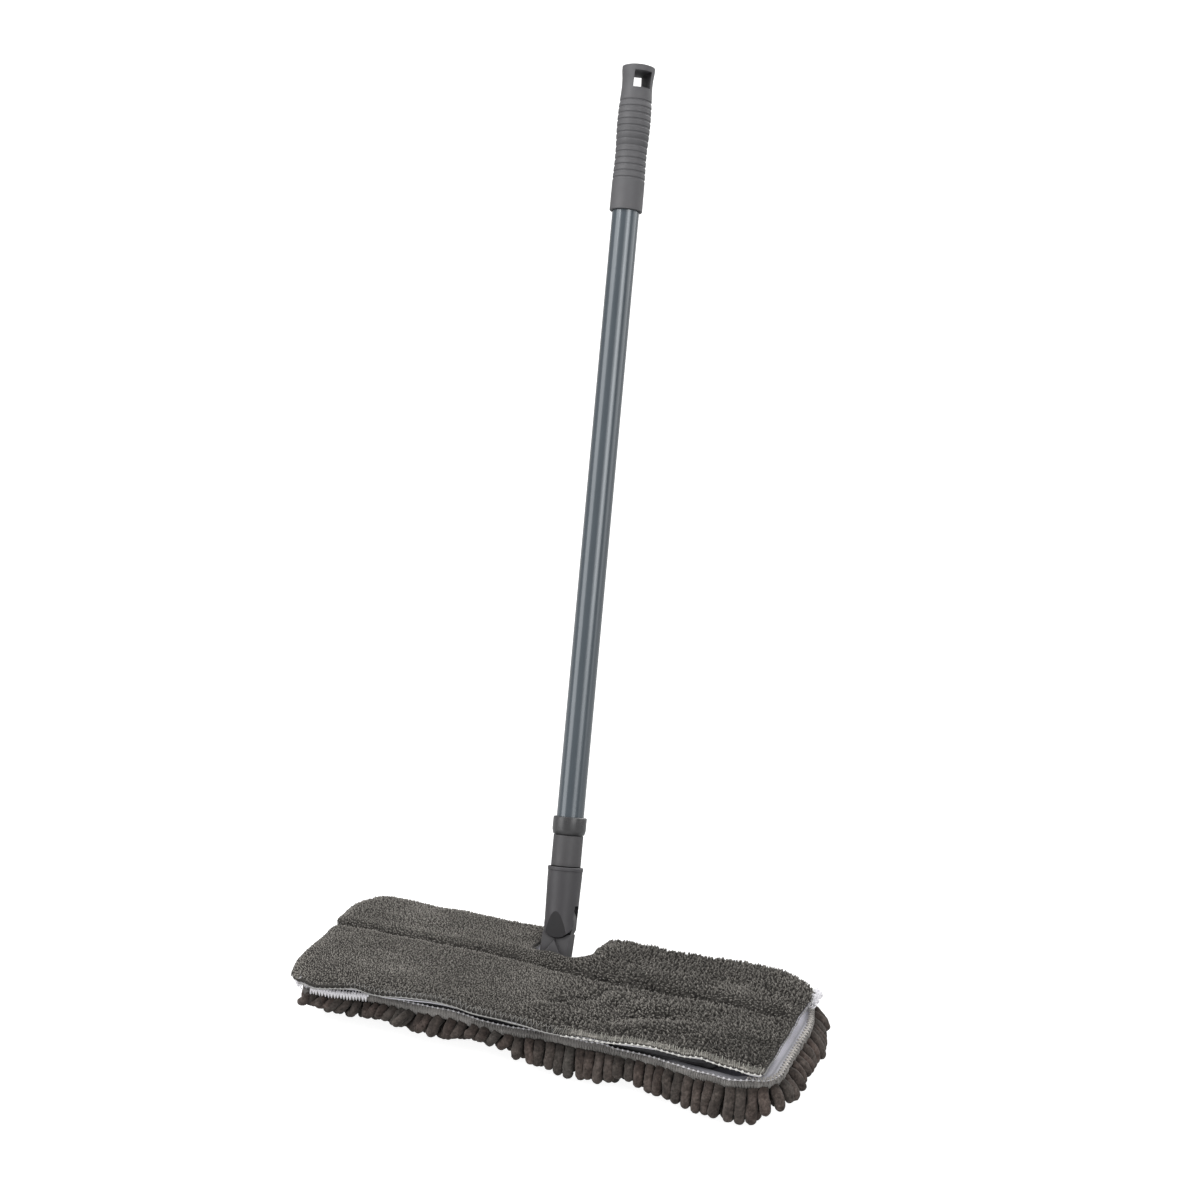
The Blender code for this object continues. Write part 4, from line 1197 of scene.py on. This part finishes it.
def lower_overlock():
    x, y = RIM[:, 0], RIM[:, 1]
    # beads along the hem's upper rim, as far as the right end
    first_right = np.argmax((x > 203) & (y > -66) & (y < 66))
    beads = offset_path(RIM, -0.7, 0.55)[:first_right]
    merge_tubes(
        "overlock_lower_beads", [beaded(beads, 0.16, 1.0, PITCH, 310, power=1.5)],
        THREAD["pearl"])
    rng = np.random.default_rng(320)
    # strokes down the hem's outer face
    strokes = zigzag(
        RIM, PITCH, out=(-0.2, 0.22, -0.6, 0.22), up=(-0.2, -3.3, -6.6, -3.3),
        scatter=0.14, radius=0.26, sides=4, rng=rng)
    merge_tubes("overlock_lower_strokes", [strokes], THREAD["beige"])
    # at the right end, strokes over the lining
    right = zigzag(
        RIM[(x > 200) & (y < 66)], 7.6, out=(0.1, -2.1, -4.4, -2.1), up=(0.4, 1.75, 1.5, 1.75),
        scatter=0.12, radius=0.52, sides=5, rng=rng)
    # at the left front, thick strokes over the hem
    left = zigzag(
        RIM[(x > -166) & (x < -116) & (y < -40)], 5.2,
        out=(0.35, 0.35, -2.6, 0.35), up=(-5.2, -0.9, 1.0, -0.9),
        scatter=0.12, radius=0.80, sides=5, rng=rng)
    merge_tubes("overlock_lower_ribs", [left], THREAD["white"])
    merge_tubes("overlock_lower_ribs_right", [right], THREAD["sand"])


# bunches of loose thread ends at two corners: count, centre, spread, lift
LOOSE_BUNCHES = (
    (170, (212.0, 56.0, 44.5), (3.4, 9.5, 4.6), (1.8, 1.0, 0.8)),
    (60, (-172.5, -65.5, 40.5), (4.0, 2.6, 3.0), (-1.0, -1.6, 0.2)),
)


def loose_threads():
    rng = np.random.default_rng(330)
    t = np.linspace(0, 1, 9)[:, None]
    threads = []
    for count, centre, spread, lift in LOOSE_BUNCHES:
        for _ in range(count):
            start = np.array(centre) + np.clip(rng.normal(0, 0.5, 3), -1, 1) * np.array(spread)
            arch = np.array(lift) * rng.uniform(0.4, 1.3)
            reach = rng.normal(0, 1.5, 3)
            curve = start + arch * np.sin(t * math.pi) + reach * t
            curve = curve + rng.normal(0, 0.25, 3) * np.sin(t * 9)
            threads.append(tube_path(curve, rng.uniform(0.16, 0.36), 4))
    merge_tubes("loose_threads", threads, THREAD["white"])


rolled_hem()
lower_overlock()
loose_threads()

# ---------------------------------------------------------------- chenille noodles
# x, y of the line in front of which the noodles are raised off the floor
REACH = (
    (-195, -34), (-178, -32), (-165, -31), (-150, -34), (-132, -35), (-115, -30.5), (-100, -33),
    (-83, -36), (-59, -41), (-45, -36), (-34, -31), (-20, -33), (-8, -35), (-1, -36), (7, -45),
    (27, -52), (45, -57.5), (60, -59.5), (79, -58), (93, -48), (102, -44), (112, -52),
    (122, -56), (131, -59.5), (141, -63), (150, -65), (160, -69), (176, -73), (200, -74),
    (206, -70), (212, -62), (218, -50), (235, -40),
)
# three strays at the left front: x, y, z of the tip, sideways bulge
STRAYS = (
    (-176.0, -54.0, 21.5, -5.0), (-159.5, -66.0, 19.5, -4.5), (-89.0, -70.0, 19.0, -3.0))
STRAY_RADIUS = 3.3


def lowest(x, y):
    """Lowest height of a noodle at (x, y)."""
    return np.clip((at(REACH, x) - y) * 0.64, 0, 26)


def noodles(name, strands, sides, rings, seed):
    """Bent round-ended bodies in one mesh, from (root, tip, bulge, radius) strands."""
    roots, tips, bulge, radius = (np.array(column, float) for column in zip(*strands))
    rng = np.random.default_rng(seed)
    count = len(roots)
    t = np.linspace(0, 1, rings)
    along = t[None, :, None]
    middle = (roots + tips) / 2 + bulge
    centre = (1 - along) ** 2 * roots[:, None] + 2 * along * (1 - along) * middle[:, None]
    centre = centre + along**2 * tips[:, None]
    centre = centre + rng.normal(0, 0.5, (count, 1, 3)) * np.sin(t * math.pi * 2)[None, :, None]
    tangent = unit(np.gradient(centre, axis=1))
    side = unit(np.cross(tangent, unit(rng.normal(size=(count, 1, 3)))))
    other = np.cross(tangent, side)
    length = np.linalg.norm(np.diff(centre, axis=1), axis=2).sum(1)

    # a round cap at the tip, full width elsewhere
    to_tip = (1 - t)[None, :] * length[:, None]
    cap = 1 - clamp(to_tip / radius[:, None])
    radii = radius[:, None] * np.sqrt(np.clip(1 - cap**2, 0.02, 1))
    angle = (np.arange(sides) * math.tau / sides)[None, None, :, None]
    ring = side[:, :, None] * np.cos(angle) + other[:, :, None] * np.sin(angle)
    body = (centre[:, :, None] + ring * radii[:, :, None, None]).reshape(-1, 3)

    def lumpy(cell, lump_seed):
        x, y, z = (body / cell).T
        return noise(x, y, lump_seed, z)

    lump = lumpy(1.3, seed + 1) * 0.7 + lumpy(3.2, seed + 2) * 0.5
    body = body + ring.reshape(-1, 3) * (lump * 0.42)[:, None]
    caps = np.stack(
        [centre[:, 0] - tangent[:, 0] * 0.2, centre[:, -1] + tangent[:, -1] * 0.15], 1)
    per_body = rings * sides
    verts = np.concatenate([body.reshape(count, per_body, 3), caps], 1).reshape(-1, 3)
    verts[:, 2] = np.maximum(verts[:, 2], 0.05)

    stride = per_body + 2
    start = (np.arange(count) * stride)[:, None, None]
    quads, triangles = tube_faces(rings, sides)
    faces = [(quads[None] + start).reshape(-1, 4), (triangles[None] + start).reshape(-1, 3)]
    # h paints shade: darker towards the root and in the hollows of the lumpy fuzz, lighter on its
    # bumps as painted light
    root_shade = np.repeat(0.35 + 0.65 * smooth(to_tip[:, ::-1] / 9.0), sides, axis=1)
    height = clamp(0.5 + 0.42 * lump).reshape(count, per_body) * root_shade
    attrs = {
        "h": np.concatenate([height, np.full((count, 2), 0.5)], 1).ravel(),
        "tint": np.repeat(rng.normal(0, 0.12, count), stride),
        "hue": np.repeat(clamp(rng.normal(0.35, 0.35, count)), stride),
    }
    return make_mesh(name, verts, faces, CHENILLE, attrs)


def curled_strand(edge, root, row, radius, rng):
    """Left part of the front: the belly faces forward and the tip lies back."""
    y = edge[1] + 4.0 + 7 * row + rng.normal(0, 1.6)
    x = root[0] - 10.0 + rng.normal(0, 2.4)
    z = lowest(x, y - 0.3 * radius) + radius * 0.42 + abs(rng.normal(0, 0.7))
    bulge = np.array([
        1.2 + rng.normal(0, 0.8), -6.5 + rng.normal(0, 1.0), -1.5 + rng.normal(0, 0.8)])
    return root + np.array([1.5, 0, 1.0]), [x, y, min(z, 21.5)], bulge, radius


def hanging_strand(edge, normal, root, row, radius, end, rng):
    """Right part of the front and the right end; end is 1 where the rim faces right."""
    back = normal * (2.2 + 8.3 * row)
    out = (3.0 + 6.2 * end) * (1 - 0.30 * row)
    out = out * rng.uniform(0.85 - 0.2 * end, 1.15 + 0.15 * end)
    tip = edge - back * (1 - 0.15 * end) + normal * (out + 1.5)
    tip[0] += rng.normal(-1.2, 1.0) * (1 - end)
    tip[1] += rng.normal(-1.5, 2.4) * end
    front_z = lowest(tip[0], tip[1] - radius * 0.3) + radius * 0.12
    front_z = front_z + abs(rng.normal(0, 0.8)) * (1 + row)
    end_z = 11.5 + 5.0 * (1 - smooth((edge[1] + 5) / 30.0)) - 3.4 * row + rng.normal(0, 1.0)
    tip[2] = front_z * (1 - end) + max(end_z, radius) * end
    bulge = normal * (3.0 + 2.0 * end) + UP * (0.5 + 3.0 * end)
    return root, tip, bulge, radius


def front_strands(rng):
    """Three rows along the front and the right end."""
    step = 0.5
    path = low_path(*legs(
        (np.arange(LOW_LEFT + 8, LOW_RIGHT, step), LOW_FRONT),
        (LOW_RIGHT, np.arange(LOW_FRONT, LOW_REAR - 8, step))), step)
    normals = outward(path)
    strands = []
    for row in range(3):
        place = 3.0 + 2.5 * row
        while place < len(path) - 3:
            edge, normal = path[int(place)], normals[int(place)]
            left = edge[0] < 3
            end = float(smooth((normal[0] - 0.25) / 0.6))
            if left:
                radius = rng.uniform(3.1, 3.6) + 0.8 * float(smooth((edge[0] + 115) / 60.0))
            else:
                radius = rng.uniform(4.0, 4.4)
            if normal[0] > 0.7 and edge[1] > 67:
                break
            root = edge - normal * (2.2 + 8.3 * row) - UP * 6.2
            root[2] = min(root[2], float(low_z(root[0], root[1])) - 3.4)
            if left:
                strands.append(curled_strand(edge, root, row, radius, rng))
                place += radius * rng.uniform(1.95, 2.55) / step
                continue
            strands.append(hanging_strand(edge, normal, root, row, radius, end, rng))
            spread = 1.0 if row < 1 or end < 0.3 else 1.15
            place += rng.uniform(8.1, 8.8 + 1.6 * end) / step * spread
    return strands


def left_strands(rng):
    """Two rows at the left end."""
    strands = []
    for row, x in enumerate((LOW_LEFT + 3.0, LOW_LEFT + 11.5)):
        y = LOW_FRONT + 14
        while y < LOW_REAR - 8:
            root_z = float(low_z(x, y)) - 5.0
            radius = rng.uniform(3.9, 4.4)
            out = (4.0 - 2 * row) * rng.uniform(0.6, 1.3)
            tip_z = lowest(x, y) + radius * 0.25 + abs(rng.normal(0, 1.6))
            tip = [x - out, y + rng.normal(0, 2.0), min(tip_z, root_z - 6)]
            strands.append(([x, y, min(root_z, 27)], tip, [-2.0, 0, 1.0], radius))
            y += rng.uniform(8.3, 9.2)
    return strands


def rear_strands(rng):
    """Two rows along the hinge side, left and right of the notch."""
    strands = []
    for row, rear in enumerate((LOW_REAR - 3.5, LOW_REAR - 12.0)):
        x = LOW_LEFT + 12
        while x < LOW_RIGHT - 16:
            if NOTCH_LEFT - 8 < x < NOTCH_RIGHT + 8:
                x += 9
                continue
            y = rear - 9 * float(smooth((x - 168) / 45.0))
            root_z = float(low_z(x, y)) - 5.0
            radius = rng.uniform(4.0, 4.5)
            out = (6.5 - 3 * row) * rng.uniform(0.6, 1.25)
            tip = [x + rng.normal(0, 2.0), y + out, radius * 0.25 + abs(rng.normal(0, 2.0))]
            strands.append(([x, y, min(root_z, 27)], tip, [0, 2.5, 1.0], radius))
            x += rng.uniform(8.6, 9.6)
    return strands


def notch_strands(rng):
    """One row round the notch."""
    beside = np.arange(32, 70, 9.2)
    places = [(NOTCH_LEFT - 7.5, y, -2.5) for y in beside]
    places += [(NOTCH_RIGHT + 7.0, y, 2.0) for y in beside]
    places += [(x, NOTCH_END - 16.5, 0.0) for x in np.arange(NOTCH_LEFT, NOTCH_RIGHT + 1, 9.0)]
    strands = []
    for x, y, lean in places:
        radius = rng.uniform(4.2, 4.6)
        forward = 2.5 if lean == 0 else 0
        tip = [
            x + lean + rng.normal(0, 0.8), y - forward + rng.normal(0, 0.7),
            radius * 0.3 + abs(rng.normal(0, 1.5))]
        strands.append(([x, y, 24.5], tip, [0, 0, 0.0], radius))
    return strands


def inner_strands(rng):
    """Staggered rows under the middle of the sheet."""
    strands = []
    for row, row_y in enumerate(np.arange(LOW_FRONT + 26, LOW_REAR - 19, 10.4)):
        for row_x in np.arange(LOW_LEFT + 21 + (row % 2) * 5.2, LOW_RIGHT - 27, 10.5):
            if NOTCH_LEFT - 15 < row_x < NOTCH_RIGHT + 15 and row_y > NOTCH_END - 21:
                continue
            x, y = row_x + rng.normal(0, 0.9), row_y + rng.normal(0, 0.9)
            radius = rng.uniform(4.5, 5.2)
            angle = 3.0 * float(noise(x / 34, y / 34, 71)) * math.pi
            reach = rng.uniform(5.0, 9.0)
            tip_x, tip_y = x + reach * math.cos(angle), y + reach * math.sin(angle)
            tip_z = radius * 0.38 + rng.uniform(0, 1.2) + lowest(tip_x, tip_y)
            bulge = [rng.normal(0, 2.0), rng.normal(0, 2.0), -3.0]
            strands.append(([x, y, 25.2], [tip_x, tip_y, min(tip_z, 18)], bulge, radius))
    return strands


def chenille():
    rng = np.random.default_rng(5)
    rim = front_strands(rng)
    for x, y, z, bulge in STRAYS:
        root = [x + 7.5, y + 9.0, 29.5]
        rim.append((root, [x, y, z + 2.2], [bulge * 0.2, -3.0, 1.0], STRAY_RADIUS))
    rim += left_strands(rng) + rear_strands(rng) + notch_strands(rng)
    sides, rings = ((18, 24))
    rim_pile = noodles("chenille_noodles_rim", rim, sides, rings, seed=61)
    sides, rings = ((10, 9))
    noodles("chenille_noodles_inner", inner_strands(rng), sides, rings, seed=81)
    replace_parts(rim_pile, "chenille_pile")


chenille()

# ---------------------------------------------------------------- camera
AZIMUTH, ELEVATION = math.radians(22.01), math.radians(20.21)
CAMERA_PLACE = Vector((0.6987, -1.5924, 1.0021))
CAMERA_RIGHT = Vector((math.cos(AZIMUTH), math.sin(AZIMUTH), 0))


def add_camera():
    data = bpy.data.cameras.new("camera")
    data.lens = 75.0
    data.sensor_width = 36.0
    data.clip_start = 0.05
    data.clip_end = 100
    camera = bpy.data.objects.new("camera", data)
    bpy.context.scene.collection.objects.link(camera)
    forward = Vector((
        -math.sin(AZIMUTH) * math.cos(ELEVATION), math.cos(AZIMUTH) * math.cos(ELEVATION),
        -math.sin(ELEVATION)))
    axes = Matrix((CAMERA_RIGHT, CAMERA_RIGHT.cross(forward), -forward))
    camera.matrix_world = Matrix.Translation(CAMERA_PLACE) @ axes.transposed().to_4x4()
    bpy.context.scene.camera = camera


add_camera()


# ---------------------------------------------------------------- floor
def floor_white():
    """White to the camera, less bright in reflections, and plain grey to the other rays."""
    material, graph, surface = new_material("floor_white")
    seen_grey = graph.ramp(
        graph.noise(3.0, detail=2.0, roughness=0.5),
        [(0.3, (0.42, 0.42, 0.42)), (0.7, (0.43, 0.43, 0.43))])
    rays = graph.add("LightPath").outputs
    inputs = {0: rays["Is Glossy Ray"], 1: 0.27, 2: rays["Is Camera Ray"]}
    seen = graph.add("Math", inputs, operation="MULTIPLY_ADD").outputs[0]
    graph.feed(surface, {
        "Base Color": (0.86, 0.86, 0.86, 1),
        "Roughness": 0.9,
        "Specular IOR Level": 0.1,
        "Emission Color": (1, 1, 1, 1),
        "Emission Strength": graph.math("MULTIPLY", seen, 0.90),
    })
    inputs = {0: rays["Is Camera Ray"], 6: (0.34, 0.34, 0.34, 1), 7: seen_grey}
    mixed = graph.add("Mix", inputs, data_type="RGBA").outputs[2]
    graph.feed(surface, {"Base Color": mixed})
    return material


def add_floor():
    half = 14.0
    mesh = bpy.data.meshes.new("floor")
    corners = [(-half, -half, 0), (half, -half, 0), (half, half, 0), (-half, half, 0)]
    mesh.from_pydata(corners, [], [(0, 1, 2, 3)])
    mesh.materials.append(floor_white())
    floor = bpy.data.objects.new("floor", mesh)
    bpy.context.scene.collection.objects.link(floor)


add_floor()


# ---------------------------------------------------------------- lights
def softbox(name, place, target, size, power):
    data = bpy.data.lights.new(name, "AREA")
    data.shape = "RECTANGLE"
    data.size, data.size_y = size
    data.energy = power
    data.specular_factor = 0.0
    light = bpy.data.objects.new(name, data)
    bpy.context.scene.collection.objects.link(light)
    light.location = place
    aim = Vector(target) - Vector(place)
    light.rotation_euler = aim.to_track_quat("-Z", "Y").to_euler()


softbox("key_softbox", place=(-1.3, -1.1, 2.6), target=(0.0, 0.0, 0.1), size=(1.6, 1.6), power=46)
softbox("fill_softbox", place=(1.9, -1.6, 1.5), target=(0.0, 0.0, 0.2), size=(1.4, 1.8), power=12)


# ---------------------------------------------------------------- world
def studio_world():
    """White to the camera, a soft dome for diffuse light, and strips along the pole to reflect."""
    world = bpy.data.worlds.new("studio")
    bpy.context.scene.world = world
    world.use_nodes = True
    world.node_tree.nodes.clear()
    graph = Graph(world.node_tree)
    direction = graph.add("TexCoord").outputs["Generated"]

    # angle round the pole: 0 towards the camera, positive to its right
    pole = Vector(POLE_AXIS).normalized()
    to_camera = (CAMERA_PLACE - Vector(POLE_FOOT + POLE_AXIS * 0.35)).normalized()
    facing = (to_camera - pole * to_camera.dot(pole)).normalized()
    beside = pole.cross(facing)
    if beside.dot(CAMERA_RIGHT) < 0:
        beside = -beside
    angle = graph.math(
        "ARCTAN2", graph.dot(direction, tuple(beside)), graph.dot(direction, tuple(facing)))

    def times(a, b):
        return graph.math("MULTIPLY", a, b)

    def plus(a, b):
        return graph.math("ADD", a, b)

    def band(low, high, soft, strength):
        """Strip between two angles in degrees, with soft borders."""
        def border(middle, target):
            source = (math.radians(middle - soft), math.radians(middle + soft))
            return graph.remap(angle, source, target, interpolation_type="SMOOTHSTEP")

        return times(times(border(low, (0.0, 1.0)), border(high, (1.0, 0.0))), strength)

    # the right-hand strip dies out between these distances up the pole
    along = []
    for up_pole in (0.190, 0.270):
        ray = (Vector(POLE_FOOT + POLE_AXIS * up_pole) - CAMERA_PLACE).normalized()
        along.append(ray.dot(pole))
    fade = graph.remap(
        graph.dot(direction, tuple(pole)), (min(along), max(along)), (0.04, 1.0),
        interpolation_type="SMOOTHSTEP")
    strips = plus(
        band(-82, -47, soft=3.5, strength=2.5), times(band(19, 45, soft=4, strength=3.3), fade))
    rim = plus(band(72, 178, soft=10, strength=1.35), band(96, 178, soft=14, strength=1.3))
    gloss = plus(plus(strips, rim), 0.34)
    dome = graph.remap(graph.dot(direction, (0, 0, 1)), (-0.2, 1.0), (0.62, 1.12))

    rays = graph.add("LightPath").outputs
    glossy, camera = rays["Is Glossy Ray"], rays["Is Camera Ray"]
    value = plus(times(gloss, glossy), times(dome, graph.math("SUBTRACT", 1.0, glossy)))
    value = plus(times(value, graph.math("SUBTRACT", 1.0, camera)), times(camera, 1.05))
    background = graph.add("Background", {"Strength": value, "Color": (1, 1, 1, 1)})
    graph.add("OutputWorld", {"Surface": background.outputs[0]})


studio_world()

bpy.context.scene.view_settings.view_transform = "Standard"
bpy.context.scene.view_settings.look = "None"

bpy.context.view_layer.update()
